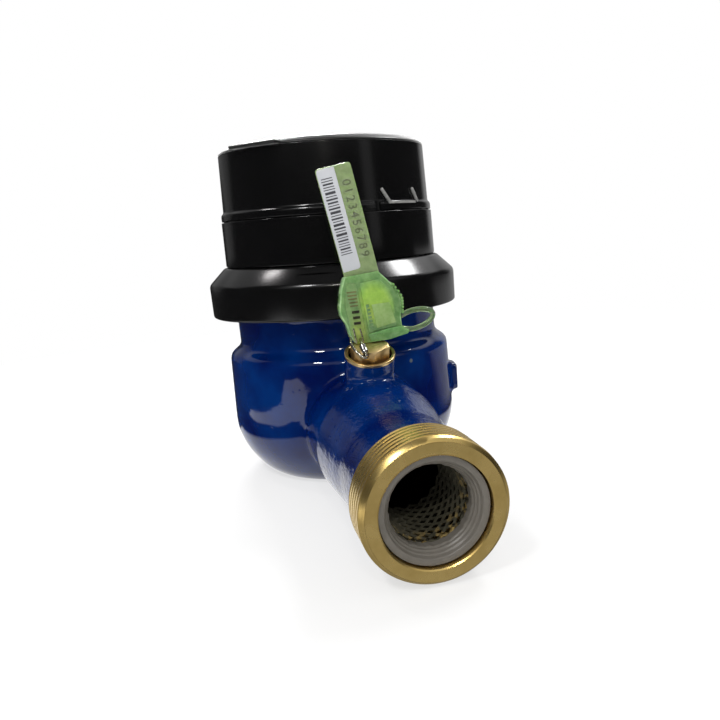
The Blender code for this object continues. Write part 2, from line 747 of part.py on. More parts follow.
def lattice_basket(name, look):
    """Closed-end tube with staggered diamond openings, along Z from its mouth."""
    bm = bmesh.new()
    columns = STRAINER_COLUMNS
    step_z = STRAINER_LENGTH / STRAINER_ROWS
    radii = (STRAINER_R, STRAINER_R - STRAINER_WALL)

    def point(radius, column, row):
        return Vector((*polar(radius, math.tau * (column + 0.5 * row) / columns).xy, row * step_z))

    skins = []
    for radius in radii:
        skins.append(
            [
                [bm.verts.new(point(radius, column, row)) for column in range(columns)]
                for row in range(STRAINER_ROWS + 1)
            ]
        )

    def node(skin, column, row):
        return skins[skin][row][column % columns]

    def opening(column, row):
        corners = [(column, row), (column, row + 1), (column - 1, row + 2), (column - 1, row + 1)]
        frames = []
        for skin in (0, 1):
            around = [node(skin, *corner) for corner in corners]
            centre_turn = math.tau * (column + 0.5 * row) / columns
            centre = Vector((*polar(radii[skin], centre_turn).xy, (row + 1) * step_z))
            inner = [bm.verts.new(vert.co.lerp(centre, STRAINER_BAR)) for vert in around]
            for side in range(4):
                after = (side + 1) % 4
                bm.faces.new((around[side], around[after], inner[after], inner[side]))
            frames.append(inner)
        for side in range(4):
            after = (side + 1) % 4
            bm.faces.new((frames[0][side], frames[0][after], frames[1][after], frames[1][side]))

    for column in range(columns):
        for row in range(STRAINER_ROWS - 1):
            opening(column, row)
        for skin in (0, 1):
            bm.faces.new((node(skin, column, 0), node(skin, column + 1, 0), node(skin, column, 1)))
            last = STRAINER_ROWS
            corners = ((column, last), (column + 1, last), (column + 1, last - 1))
            bm.faces.new([node(skin, *corner) for corner in corners])
        mouth = (node(0, column, 0), node(0, column + 1, 0), node(1, column + 1, 0), node(1, column, 0))
        bm.faces.new(mouth)
    rim = [node(0, column, STRAINER_ROWS) for column in range(columns)]
    end = [bm.verts.new(vert.co + Vector((0.0, 0.0, STRAINER_END))) for vert in rim]
    for column in range(columns):
        after = (column + 1) % columns
        bm.faces.new((rim[column], rim[after], end[after], end[column]))
    bm.faces.new(end)
    bm.faces.new([node(1, column, STRAINER_ROWS) for column in range(columns)])
    return finish_mesh(name, bm, look)


make_strainer()


# Measuring chamber: cup with tangential ports, and the cover above it


def port_ring(name, low_z, high_z, lean):
    """One row of port cutters, each set askew to the radius."""
    bm = bmesh.new()
    reach = 2 * CHAMBER_WALL
    for port in range(PORT_COUNT):
        turn = math.tau * port / PORT_COUNT
        place = Matrix.Translation(polar(CHAMBER_R - CHAMBER_WALL / 2, turn))
        place = place @ Matrix.Rotation(turn + lean, 4, "Z")
        size = Matrix.Diagonal((2 * reach, PORT_WIDTH, high_z - low_z, 1.0))
        lift = Matrix.Translation((0.0, 0.0, (low_z + high_z) / 2))
        bmesh.ops.create_cube(bm, size=1.0, matrix=lift @ place @ size)
    return finish_mesh(name, bm)


def make_chamber():
    """Cup that hangs by its flange on the casting's ledge."""
    floor_top = CHAMBER_FLOOR_Z + CHAMBER_FLOOR_T
    flange_top = CHAMBER_FLANGE_Z + CHAMBER_FLANGE_T
    inner_r = CHAMBER_R - CHAMBER_WALL
    outline = [
        (PIVOT_R + GAP, CHAMBER_FLOOR_Z),
        (CHAMBER_FOOT_R, CHAMBER_FLOOR_Z),
        (CHAMBER_R, floor_top),
        (CHAMBER_R, CHAMBER_FLANGE_Z),
        (FLANGE_R, CHAMBER_FLANGE_Z),
        (FLANGE_R, flange_top),
        (CHAMBER_R, flange_top),
        (CHAMBER_R, CHAMBER_TOP_Z),
        (inner_r, CHAMBER_TOP_Z),
        (inner_r, floor_top),
        (PIVOT_R + GAP, floor_top),
    ]
    cup = turned("measuring_chamber", outline, INNER_FACETS, WHITE_PLASTIC)
    low = (floor_top + CHAMBER_FLANGE_Z - PORT_HEIGHT) / 2
    high = (flange_top + CHAMBER_TOP_Z - PORT_HEIGHT) / 2
    inlet_ports = port_ring("inlet_ports", low, low + PORT_HEIGHT, PORT_LEAN)
    outlet_ports = port_ring("outlet_ports", high, high + PORT_HEIGHT, -PORT_LEAN)
    cut(cup, inlet_ports, outlet_ports)

    top_plate_z = COVER_TOP_Z - COVER_T
    bore_r = IMPELLER_SHAFT_R + GAP
    tube_inner_r = COVER_TUBE_R - COVER_TUBE_WALL
    outline = [
        (bore_r, COVER_Z),
        (CHAMBER_R, COVER_Z),
        (CHAMBER_R, COVER_Z + COVER_T),
        (COVER_TUBE_R, COVER_Z + 2 * COVER_T),
        (COVER_TUBE_R, top_plate_z),
        (FLANGE_R, top_plate_z),
        (FLANGE_R, COVER_TOP_Z),
        (tube_inner_r, COVER_TOP_Z),
        (tube_inner_r, COVER_Z + COVER_BEARING_T),
        (bore_r, COVER_Z + COVER_BEARING_T),
    ]
    turned("chamber_cover", outline, INNER_FACETS, WHITE_PLASTIC)


make_chamber()


# Impeller with its magnet, on a pivot in the chamber's floor


def vane_outline(tip_r):
    """Hub with straight radial vanes, seen from above."""
    outline = []
    root_turn = math.asin(VANE_T / 2 / IMPELLER_HUB_R)
    for vane in range(VANE_COUNT):
        turn = math.tau * vane / VANE_COUNT
        outline.append(polar(IMPELLER_HUB_R, turn - root_turn).xy)
        for side in (-1, 1):
            tip = polar(tip_r, turn) + polar(side * VANE_T / 2, turn + math.pi / 2)
            outline.append(tip.xy)
        outline.append(polar(IMPELLER_HUB_R, turn + root_turn).xy)
    return outline


def make_impeller():
    """Vaned wheel, its shaft with the magnet carrier, the magnet and the pivot."""
    floor_top = CHAMBER_FLOOR_Z + CHAMBER_FLOOR_T
    bottom = floor_top + IMPELLER_CLEARANCE
    top = COVER_Z - IMPELLER_CLEARANCE
    tip_r = CHAMBER_R - CHAMBER_WALL - IMPELLER_CLEARANCE
    wheel = extruded("impeller", vane_outline(tip_r), bottom, top, WHITE_PLASTIC)
    carrier_top = MAGNET_Z - GAP
    outline = [
        (0.0, top - GAP),
        (IMPELLER_SHAFT_R, top - GAP),
        (IMPELLER_SHAFT_R, carrier_top - VANE_T),
        (MAGNET_R, carrier_top - VANE_T),
        (MAGNET_R, carrier_top),
        (MAGNET_BORE_R - GAP, carrier_top),
        (MAGNET_BORE_R - GAP, MAGNET_Z + MAGNET_T),
        (0.0, MAGNET_Z + MAGNET_T),
    ]
    add(wheel, turned("impeller_shaft", outline, DRUM_FACETS))
    pivot_top = bottom + 3 * PIVOT_R
    cut(wheel, rod("pivot_hole", PIVOT_R + GAP, bottom - GAP, pivot_top + GAP))
    ring("drive_magnet", MAGNET_BORE_R, MAGNET_R, MAGNET_Z, MAGNET_Z + MAGNET_T, DRUM_FACETS, MAGNET)
    rod("impeller_pivot", PIVOT_R, CHAMBER_FLOOR_Z, pivot_top, SMALL_FACETS, STEEL)


make_impeller()


# Pressure plate, friction ring and the ring nut that clamps them to the body


def make_clamp():
    """The clamped stack above the rim of the body."""
    plate_top = PRESSURE_PLATE_Z + PRESSURE_PLATE_T
    rod("pressure_plate", COLLAR_R, PRESSURE_PLATE_Z, plate_top, PLATE_FACETS, BRASS)
    ring(
        "friction_ring",
        RING_LIP_R,
        COLLAR_R,
        FRICTION_RING_Z,
        FRICTION_RING_Z + FRICTION_RING_T,
        PLATE_FACETS,
        WHITE_PLASTIC,
    )
    outline = [
        (RING_INNER_R, RING_Z),
        (RING_R - RING_EDGE, RING_Z),
        (RING_R, RING_Z + RING_EDGE),
        (RING_R, RING_WALL_TOP_Z),
        (SHROUD_R + 2 * GAP, RING_TOP_Z),
        (RING_LIP_R, RING_TOP_Z),
        (RING_LIP_R, RING_LIP_Z),
        (RING_INNER_R, RING_LIP_Z),
    ]
    nut = turned("ring_nut", outline, CASE_FACETS, BLACK_PLASTIC)
    slope = math.atan2(RING_TOP_Z - RING_WALL_TOP_Z, RING_R - SHROUD_R)
    middle_r = (RING_R + SHROUD_R) / 2
    middle_z = (RING_WALL_TOP_Z + RING_TOP_Z) / 2
    half = (RECESS_HEIGHT / 2, RECESS_WIDTH / 2, RECESS_DEPTH)
    recess = block("chamfer_recess", (-half[0], -half[1], -half[2]), half)
    place = Matrix.Rotation(RECESS_BEARING, 4, "Z") @ Matrix.Translation((middle_r, 0.0, middle_z))
    recess.matrix_world = place @ Matrix.Rotation(slope, 4, "Y")
    cut(nut, recess)


make_clamp()


# Register: can, magnet follower, gear arbors, hands, number drums, dial and glass


def arbor(name, axis, bottom, top, wheels, look):
    """Shaft with its wheels, given as (teeth, phase, bottom, face width)."""
    shaft = rod(name, ARBOR_R, bottom, top, SMALL_FACETS, look)
    shaft.location = axis
    for number, (teeth, phase, low, face) in enumerate(wheels):
        wheel = extruded(f"{name}_wheel_{number}", gear_outline(teeth, phase), low, low + face)
        wheel.location = axis
        add(shaft, wheel)
    return shaft


def make_can():
    """Can with its clamped flange and the lower bearings of two arbors."""
    outline = [
        (0.0, CAN_Z),
        (COLLAR_R, CAN_Z),
        (COLLAR_R, CAN_FLOOR_Z),
        (CAN_R, CAN_FLOOR_Z),
        (CAN_R, CAN_TOP_Z),
        (CAN_INNER_R, CAN_TOP_Z),
        (CAN_INNER_R, CAN_FLOOR_Z),
        (0.0, CAN_FLOOR_Z),
    ]
    can = turned("register_can", outline, PLATE_FACETS, CLEAR_PLASTIC)
    for number, axis in enumerate((STAR_AXIS, POINTER_1_AXIS)):
        low = CAN_FLOOR_Z - GAP
        bearing = ring(f"bearing_{number}", ARBOR_R + GAP, ARBOR_BEARING_R, low, PINION_Z, HOLE_FACETS)
        bearing.location = axis
        add(can, bearing)
    carry(head, can)


def make_gears():
    """Follower magnet and spindle, and the two geared arbors."""
    towards_star = STAR_ARBOR_BEARING
    magnet = ring(
        "follower_magnet",
        MAGNET_BORE_R,
        FOLLOWER_R,
        FOLLOWER_Z,
        FOLLOWER_Z + FOLLOWER_T,
        DRUM_FACETS,
        MAGNET,
    )
    spindle = arbor(
        "follower_spindle",
        (0.0, 0.0, 0.0),
        FOLLOWER_Z,
        PLATE_TOP_Z,
        [(PINION_TEETH, towards_star, PINION_Z, PINION_FACE)],
        WHITE_PLASTIC,
    )
    hub = rod("follower_hub", MAGNET_BORE_R - GAP, FOLLOWER_Z, PINION_Z + GAP)
    add(spindle, hub)
    facing_gap = math.pi / WHEEL_TEETH
    star = arbor(
        "star_arbor",
        STAR_AXIS,
        CAN_FLOOR_Z + GAP,
        HAND_Z + HAND_T,
        [
            (WHEEL_TEETH, towards_star + math.pi + facing_gap, STAR_WHEEL_Z, WHEEL_FACE),
            (PINION_TEETH, POINTER_ARBOR_BEARING, STAR_PINION_Z - GAP, PINION_FACE),
        ],
        WHITE_PLASTIC,
    )
    pointer = arbor(
        "pointer_arbor_1",
        POINTER_1_AXIS,
        CAN_FLOOR_Z + GAP,
        HAND_Z + HAND_T,
        [(WHEEL_TEETH, POINTER_ARBOR_BEARING + math.pi + facing_gap, POINTER_WHEEL_Z, WHEEL_FACE)],
        WHITE_PLASTIC,
    )
    carry(head, magnet, spindle, star, pointer)


def make_movement():
    """Plate with the drum cheeks, and the closed box of the slower gears."""
    plate = rod("movement_plate", CAN_INNER_R - GAP, PLATE_Z, PLATE_TOP_Z, PLATE_FACETS, WHITE_PLASTIC)
    half_row = DRUM_COUNT * DRUM_PITCH / 2
    for side in (-1, 1):
        near = side * (half_row + GAP)
        far = side * (half_row + GAP + CHEEK_T)
        low = (DRUM_ROW_X - 3 * DRUM_SHAFT_R, min(near, far), PLATE_TOP_Z - GAP)
        high = (DRUM_ROW_X + 3 * DRUM_SHAFT_R, max(near, far), DRUM_AXIS_Z + 3 * DRUM_SHAFT_R)
        add(plate, block(f"cheek_{side}", low, high))
    shaft_hole = rod("shaft_hole", DRUM_SHAFT_R + GAP, -2 * half_row, 2 * half_row, HOLE_FACETS)
    shaft_hole.rotation_euler.x = -math.pi / 2
    shaft_hole.location = (DRUM_ROW_X, 0.0, DRUM_AXIS_Z)
    cut(plate, shaft_hole)
    for number, axis in enumerate((Vector(), STAR_AXIS, POINTER_1_AXIS)):
        hole = rod(f"plate_hole_{number}", ARBOR_R + GAP, PLATE_Z - GAP, PLATE_TOP_Z + GAP, HOLE_FACETS)
        hole.location = axis
        cut(plate, hole)

    middle = POINTER_1_BEARING + POINTER_STEP * (POINTER_COUNT - 1) / 2
    outer_r = CAN_INNER_R - GAP
    inner_r = WHEEL_PITCH_R
    turns = [middle + BOX_WIDTH * (step / BOX_STEPS - 0.5) for step in range(BOX_STEPS + 1)]
    outline = [polar(outer_r, turn).xy for turn in turns]
    outline += [polar(inner_r, turn).xy for turn in reversed(turns[:: BOX_STEPS // 2])]
    box = extruded("reduction_box", outline, PLATE_TOP_Z + GAP, DIAL_Z - GAP, WHITE_PLASTIC)
    for number, axis in enumerate(POINTER_AXES):
        low = PLATE_TOP_Z if number == 0 else DIAL_Z - BLIND_DEPTH
        hole = rod(f"box_hole_{number}", ARBOR_R + GAP, low, DIAL_Z, HOLE_FACETS)
        hole.location = axis
        cut(box, hole)
    carry(head, plate, box)


def hand_outline():
    """Hand with a round boss that tapers to its tip."""
    boss_r = 2 * ARBOR_R
    outline = [(HAND_REACH, -0.2 * ARBOR_R), (HAND_REACH, 0.2 * ARBOR_R), (boss_r, 0.5 * ARBOR_R)]
    outline += [polar(boss_r, math.radians(45.0) * step).xy for step in range(1, 8)]
    outline.append((boss_r, -0.5 * ARBOR_R))
    return outline


def make_hands():
    """Red hands, the arbors that end in the box, and the leak star."""
    for number, axis in enumerate(POINTER_AXES, start=1):
        hand = extruded(f"pointer_{number}", hand_outline(), HAND_Z, HAND_Z + HAND_T, RED_PLASTIC)
        hole = rod(f"pointer_hole_{number}", ARBOR_R + GAP, HAND_Z - GAP, HAND_Z + 2 * HAND_T, HOLE_FACETS)
        hand.location = axis
        hole.location = axis
        cut(hand, hole)
        carry(head, hand)
        if number > 1:
            low = DIAL_Z - BLIND_DEPTH + GAP
            stem = rod(f"pointer_arbor_{number}", ARBOR_R, low, HAND_Z + HAND_T, HOLE_FACETS, WHITE_PLASTIC)
            stem.location = axis
            carry(head, stem)
    outline = []
    for corner in range(2 * STAR_POINTS):
        radius = STAR_R if corner % 2 == 0 else STAR_ROOT * STAR_R
        outline.append(polar(radius, math.pi * corner / STAR_POINTS).xy)
    star = extruded("star_indicator", outline, HAND_Z, HAND_Z + HAND_T, RED_PLASTIC)
    hole = rod("star_hole", ARBOR_R + GAP, HAND_Z - GAP, HAND_Z + 2 * HAND_T, HOLE_FACETS)
    star.location = STAR_AXIS
    hole.location = STAR_AXIS
    cut(star, hole)
    carry(head, star)


def make_drums():
    """Number drums side by side on their shaft."""
    half_row = DRUM_COUNT * DRUM_PITCH / 2
    for number in range(1, DRUM_COUNT + 1):
        middle = half_row - (number - 0.5) * DRUM_PITCH
        half = DRUM_PITCH / 2 - GAP / 2
        drum = ring(f"drum_{number}", DRUM_SHAFT_R + GAP, DRUM_R, -half, half, DRUM_FACETS, WHITE_PLASTIC)
        drum.rotation_euler.x = -math.pi / 2
        drum.location = (DRUM_ROW_X, middle, DRUM_AXIS_Z)
        carry(head, drum)
    reach = half_row + GAP + CHEEK_T
    shaft = rod("drum_shaft", DRUM_SHAFT_R, -reach, reach, HOLE_FACETS, STEEL)
    shaft.rotation_euler.x = -math.pi / 2
    shaft.location = (DRUM_ROW_X, 0.0, DRUM_AXIS_Z)
    carry(head, shaft)


def make_dial():
    """Dial with its window over the drums, and the glass on its gasket."""
    dial = rod("dial_plate", CAN_INNER_R - GAP, DIAL_Z, DIAL_TOP_Z, PLATE_FACETS, WHITE_PLASTIC)
    for number, axis in enumerate([STAR_AXIS, *POINTER_AXES]):
        hole = rod(f"dial_hole_{number}", ARBOR_R + GAP, DIAL_Z - GAP, DIAL_TOP_Z + GAP, HOLE_FACETS)
        hole.location = axis
        cut(dial, hole)
    half_x = math.sqrt(DRUM_R**2 - (DIAL_Z - DRUM_AXIS_Z) ** 2) + TURN_CLEARANCE
    half_y = DRUM_COUNT * DRUM_PITCH / 2 + GAP
    window = block(
        "drum_window",
        (DRUM_ROW_X - half_x, -half_y, DIAL_Z - GAP),
        (DRUM_ROW_X + half_x, half_y, DIAL_TOP_Z + GAP),
    )
    cut(dial, window)
    low = CAN_TOP_Z + GAP
    gasket = ring("glass_gasket", CAN_INNER_R, CAN_R, low, low + GASKET_T, PLATE_FACETS, RUBBER)
    glass = rod("register_glass", CAN_R, GLASS_Z, GLASS_TOP_Z, PLATE_FACETS, GLASS)
    carry(head, dial, gasket, glass)


make_can()
make_gears()
make_movement()
make_hands()
make_drums()
make_dial()


# Shroud, lid ring and hinged lid


def make_shroud():
    """Plain cylinder around the register, with the spigot that takes the lid ring."""
    spigot_r = SHROUD_INNER_R + SPIGOT_WALL
    spigot_top = SHROUD_TOP_Z + SPIGOT_HEIGHT
    outline = [
        (SHROUD_INNER_R, SHROUD_Z),
        (SHROUD_R, SHROUD_Z),
        (SHROUD_R - SHROUD_TAPER, SHROUD_TOP_Z),
        (spigot_r, SHROUD_TOP_Z),
        (spigot_r, spigot_top),
        (SHROUD_INNER_R, spigot_top),
    ]
    carry(head, turned("shroud", outline, CASE_FACETS, BLACK_PLASTIC))


LID_R = LID_RING_R - LID_RING_TAPER
HINGE_POINT = Vector((-LID_R - HINGE_OFFSET, 0.0, SEAM_Z + GAP / 2))


def hinge_barrel(name, centre_y, length, radius):
    """A knuckle, pin or bore of the hinge, lying along Y."""
    barrel = rod(name, radius, -length / 2, length / 2, SMALL_FACETS)
    barrel.rotation_euler.x = -math.pi / 2
    barrel.location = HINGE_POINT + Vector((0.0, centre_y, 0.0))
    return barrel


def catch_shapes():
    """Two leaning ramps and the tab between them, low on the lid ring."""
    foot_z = LID_RING_Z + BEAD_HEIGHT
    shapes = []
    for number, bearing in enumerate(RAMP_BEARINGS):
        ramp = block(
            f"ramp_{number}",
            (-2 * RAMP_HEIGHT, -RAMP_WIDTH / 2, -RAMP_LENGTH / 2),
            (RAMP_HEIGHT, RAMP_WIDTH / 2, RAMP_LENGTH / 2),
        )
        place = Matrix.Rotation(bearing - HEAD_TURN, 4, "Z")
        place = place @ Matrix.Translation((LID_RING_R - GAP, 0.0, foot_z + RAMP_FOOT * RAMP_LENGTH))
        ramp.matrix_world = place @ Matrix.Rotation(RAMP_LEAN, 4, "X")
        shapes.append(ramp)
    middle = sum(RAMP_BEARINGS) / 2 - HEAD_TURN
    half = (RAMP_BEARINGS[1] - RAMP_BEARINGS[0]) / 2
    turns = [middle + half * share for share in (-1.0, 0.0, 1.0)]
    outline = [polar(BEAD_R + 2 * GAP, turn).xy for turn in turns]
    outline += [polar(LID_RING_R - LID_RING_WALL / 2, turn).xy for turn in reversed(turns)]
    shapes.append(extruded("catch_tab", outline, foot_z - TAB_T, foot_z))
    return shapes


def make_lid_ring():
    """Upper ring with its bead, inner lip, catch and two hinge knuckles."""
    step_z = SHROUD_TOP_Z + SPIGOT_HEIGHT + GAP
    lip_z = GLASS_TOP_Z + GAP
    edge = BEAD_HEIGHT / 4
    outline = [
        (BEAD_INNER_R, LID_RING_Z),
        (BEAD_R, LID_RING_Z),
        (BEAD_R, LID_RING_Z + BEAD_HEIGHT - edge),
        (LID_RING_R, LID_RING_Z + BEAD_HEIGHT),
        (LID_R, SEAM_Z),
        (LID_RING_INNER_R, SEAM_Z),
        (LID_RING_INNER_R, lip_z + LIP_T),
        (LIP_R, lip_z + LIP_T),
        (LIP_R, lip_z),
        (LID_RING_INNER_R, lip_z),
        (LID_RING_INNER_R, step_z),
        (BEAD_INNER_R, step_z),
    ]
    lid_ring = turned("lid_ring", outline, CASE_FACETS, BLACK_PLASTIC)
    add(lid_ring, *catch_shapes())
    notch_place = Matrix.Rotation(NOTCH_BEARING - HEAD_TURN, 4, "Z")
    notch = block(
        "bead_notch",
        (LID_RING_R, -NOTCH_WIDTH / 2, LID_RING_Z - GAP),
        (BEAD_R + BEAD_WALL, NOTCH_WIDTH / 2, LID_RING_Z + BEAD_HEIGHT + GAP),
    )
    notch.matrix_world = notch_place
    cut(lid_ring, notch)
    for side in (-1, 1):
        centre_y = side * (LID_KNUCKLE_LENGTH / 2 + GAP + KNUCKLE_LENGTH / 2)
        knuckle = hinge_barrel(f"ring_knuckle_{side}", centre_y, KNUCKLE_LENGTH, KNUCKLE_R)
        lug = block(
            f"ring_lug_{side}",
            (HINGE_POINT.x, centre_y - KNUCKLE_LENGTH / 2, SEAM_Z - 2 * KNUCKLE_R),
            (-LID_RING_INNER_R - LID_RING_WALL / 3, centre_y + KNUCKLE_LENGTH / 2, SEAM_Z - GAP),
        )
        add(lid_ring, knuckle, lug)
    span = LID_KNUCKLE_LENGTH + 2 * (GAP + KNUCKLE_LENGTH)
    cut(lid_ring, hinge_barrel("ring_pin_bore", 0.0, span + 4 * GAP, HINGE_PIN_R + GAP))
    pin = hinge_barrel("hinge_pin", 0.0, span, HINGE_PIN_R)
    pin.data.materials.append(STEEL)
    carry(head, lid_ring, pin)


def make_lid():
    """Disc with a rounded edge, a locating skirt, a thumb lip and its knuckle."""
    skirt_r = LID_RING_INNER_R - TURN_CLEARANCE
    top = LID_Z + LID_T
    outline = [
        (0.0, LID_Z - LID_SKIRT),
        (skirt_r, LID_Z - LID_SKIRT),
        (skirt_r, LID_Z),
        (LID_R, LID_Z),
        (LID_R, top - LID_EDGE_R),
        (LID_R - LID_EDGE_R, top),
        (0.0, top),
    ]
    lid = turned("lid", outline, CASE_FACETS, BLACK_PLASTIC)
    lip = block(
        "thumb_lip",
        (LID_R - 2 * LID_EDGE_R, -THUMB_LIP_WIDTH / 2, LID_Z + GAP),
        (LID_R + THUMB_LIP_REACH, THUMB_LIP_WIDTH / 2, top - LID_EDGE_R / 2),
    )
    knuckle = hinge_barrel("lid_knuckle", 0.0, LID_KNUCKLE_LENGTH, KNUCKLE_R)
    lug = block(
        "lid_lug",
        (HINGE_POINT.x, -LID_KNUCKLE_LENGTH / 2, LID_Z),
        (-LID_R + LID_EDGE_R, LID_KNUCKLE_LENGTH / 2, LID_Z + KNUCKLE_R - GAP),
    )
    add(lid, lip, lug, knuckle)
    bore = hinge_barrel("lid_pin_bore", 0.0, LID_KNUCKLE_LENGTH + 4 * GAP, HINGE_PIN_R + GAP)
    cut(lid, bore)
    carry(axis_empty("hinge_axis", HINGE_POINT, 0.0, head), lid)


make_shroud()
make_lid_ring()
make_lid()


# Seal on the regulating plug: body with its flag, turned key, wire and ferrule

SEAL_SIDE = 0.904
SEAL_OUTLINE = (
    (0.120, 0.946),
    (0.600, 1.000),
    (0.764, 0.803),
    (0.872, 0.636),
    (SEAL_SIDE, 0.385),
    (SEAL_SIDE, 0.180),
    (1.000, 0.096),
    (0.672, 0.008),
    (0.392, 0.000),
    (0.116, 0.050),
    (0.084, 0.268),
    (0.000, 0.498),
    (0.028, 0.615),
)


def make_seal():
    """Green moulding that stands on the plug, with the key that locks it."""
    outline = [(SEAL_LEFT_Y + SEAL_WIDTH * across, SEAL_HEIGHT * up) for across, up in SEAL_OUTLINE]
    seal = extruded("seal_body", outline, -SEAL_T / 2, SEAL_T / 2, GREEN_PLASTIC)
    seal.rotation_euler = (math.pi / 2, 0.0, math.pi / 2)
    seal.location = (SEAL_X, 0.0, SEAL_Z)
    half = (FLAG_T / 2, FLAG_WIDTH / 2)
    flag = block("flag", (-half[0], -half[1], -FLAG_SEAT), (*half, FLAG_LENGTH))
    flag.rotation_euler.x = FLAG_LEAN
    flag.location = (SEAL_X, 0.0, SEAL_Z + SEAL_HEIGHT - FLAG_SEAT)
    add(seal, flag)

    cap_y = SEAL_LEFT_Y + SEAL_SIDE * SEAL_WIDTH + GAP
    key_z = SEAL_Z + KEY_RISE
    bore = rod("key_bore", KEY_R + GAP, -KEY_DEPTH - GAP, KEY_CAP_T)
    key = rod("seal_key", KEY_R, -KEY_DEPTH, KEY_CAP_T / 2, SMALL_FACETS, GREEN_PLASTIC)
    cap = rod("key_cap", KEY_CAP_R, 0.0, KEY_CAP_T)
    for shape in (bore, key, cap):
        shape.rotation_euler.x = -math.pi / 2
        shape.location = (SEAL_X, cap_y, key_z)
    upper = [Vector((0.0, across * LOOP_REACH, up * LOOP_HALF_HEIGHT)) for across, up in LOOP_KNOTS]
    lower = [Vector((0.0, knot.y, -knot.z)) for knot in reversed(upper[:-1])]
    knots = [*upper, *lower]
    loop = swept("key_loop", smooth_route(knots, 2), LOOP_R, facets=6)
    loop.location = (SEAL_X, cap_y, key_z)
    add(key, cap, loop)
    cut(seal, bore)
    return seal


def make_wire(seal):
    """Wire from the seal down through the plug's hole and back, with its ferrule."""
    start_y = PLUG_HOLE_Y - WIRE_LEFT
    start_z = SEAL_Z + WIRE_RISE
    way = rod("wire_way", WIRE_R + GAP, -SEAL_T, SEAL_T, HOLE_FACETS)
    way.rotation_euler.y = math.pi / 2
    way.location = (SEAL_X, start_y, start_z)
    cut(seal, way)
    plug_front = BOSS_X + PLUG_HEAD_R
    plug_back = BOSS_X - PLUG_HEAD_R
    knots = [
        Vector((SEAL_X + SEAL_T / 6, start_y, start_z)),
        Vector((SEAL_X + WIRE_BEND, start_y, start_z)),
        Vector((plug_front - GAP, (start_y + PLUG_HOLE_Y) / 2, start_z - 2 * WIRE_R)),
        Vector((plug_front + 4 * WIRE_R, PLUG_HOLE_Y, PLUG_HOLE_Z + 2 * WIRE_R)),
        Vector((plug_front - 4 * WIRE_R, PLUG_HOLE_Y, PLUG_HOLE_Z)),
        Vector((BOSS_X, PLUG_HOLE_Y, PLUG_HOLE_Z)),
        Vector((plug_back + 4 * WIRE_R, PLUG_HOLE_Y, PLUG_HOLE_Z)),
        Vector((plug_back - 4 * WIRE_R, PLUG_HOLE_Y, PLUG_HOLE_Z + 2 * WIRE_R)),
        Vector((SEAL_X - SEAL_T, (start_y + PLUG_HOLE_Y) / 2, start_z - 2 * WIRE_R)),
        Vector((SEAL_X - WIRE_BEND, start_y, start_z)),
        Vector((SEAL_X - SEAL_T / 6, start_y, start_z)),
    ]
    swept("seal_wire", smooth_route(knots, 2), WIRE_R, STEEL, 6)
    half = FERRULE_LENGTH / 2
    ferrule = ring("wire_ferrule", 2 * WIRE_R, FERRULE_R, -half, half, SMALL_FACETS, STEEL)
    along = knots[3] - knots[2]
    ferrule.rotation_mode = "QUATERNION"
    ferrule.rotation_quaternion = along.to_track_quat("Z", "X")
    ferrule.location = (knots[2] + knots[3]) / 2


make_wire(make_seal())
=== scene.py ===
"""Looks of a cold-water meter: painted casting, black register head, brass ends and a green wire seal."""
import math

import bmesh
import bpy
from mathutils import Matrix, Vector
from mathutils.geometry import interpolate_bezier


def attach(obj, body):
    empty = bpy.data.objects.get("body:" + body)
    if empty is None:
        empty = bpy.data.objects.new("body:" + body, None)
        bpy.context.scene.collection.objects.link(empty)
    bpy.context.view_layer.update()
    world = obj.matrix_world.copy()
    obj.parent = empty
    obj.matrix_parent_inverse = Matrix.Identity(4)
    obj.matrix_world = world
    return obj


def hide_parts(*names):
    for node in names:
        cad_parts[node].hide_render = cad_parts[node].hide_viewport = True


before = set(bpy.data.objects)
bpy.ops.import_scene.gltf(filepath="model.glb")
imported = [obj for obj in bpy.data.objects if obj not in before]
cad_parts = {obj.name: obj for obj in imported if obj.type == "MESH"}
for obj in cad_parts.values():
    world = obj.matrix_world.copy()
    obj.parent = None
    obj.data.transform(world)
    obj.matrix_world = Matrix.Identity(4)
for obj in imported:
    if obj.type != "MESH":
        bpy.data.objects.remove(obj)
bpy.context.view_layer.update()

# Studio: pale floor, white surroundings, and a camera close to the inlet's open end.
# The camera stands at the place and turn that the photograph was taken from.
CAMERA_PLACE = Vector((0.29528, -0.04924, 0.09530))
CAMERA_RIGHT = Vector((0.279446, 0.957819, -0.067023))
CAMERA_DOWN = Vector((0.243416, -0.138195, -0.960026))
CAMERA_AHEAD = Vector((-0.928794, 0.251961, -0.271767))
PHOTO_SIZE = 720
FOCAL_PIXELS = 699.93
CENTRE_PIXEL = (415.52, 424.51)
SENSOR = 36.0
WHITE = (1.0, 1.0, 1.0)
# Name, place, aim, size, power and colour of each lamp.
LAMPS = (
    ("right_lamp", (-0.12, 0.42, 0.62), (0.02, 0.02, 0.07), (0.20, 0.16), 2.4, WHITE),
    ("left_lamp", (0.42, -0.34, 0.66), (0.02, 0.0, 0.06), (0.10, 0.10), 2.0, WHITE),
    ("side_lamp", (-0.23, -0.33, 0.70), (0.0, 0.0, 0.07), (0.05, 0.10), 0.5, (1.0, 0.96, 0.96)),
    ("crown_lamp", (-0.55, 0.0, 0.46), (0.0, 0.0, 0.12), (0.24, 0.10), 4.6, WHITE),
    ("front_lamp", (0.62, -0.08, 0.46), (0.12, 0.0, 0.03), (0.06, 0.06), 0.7, (1.0, 0.97, 0.88)),
)
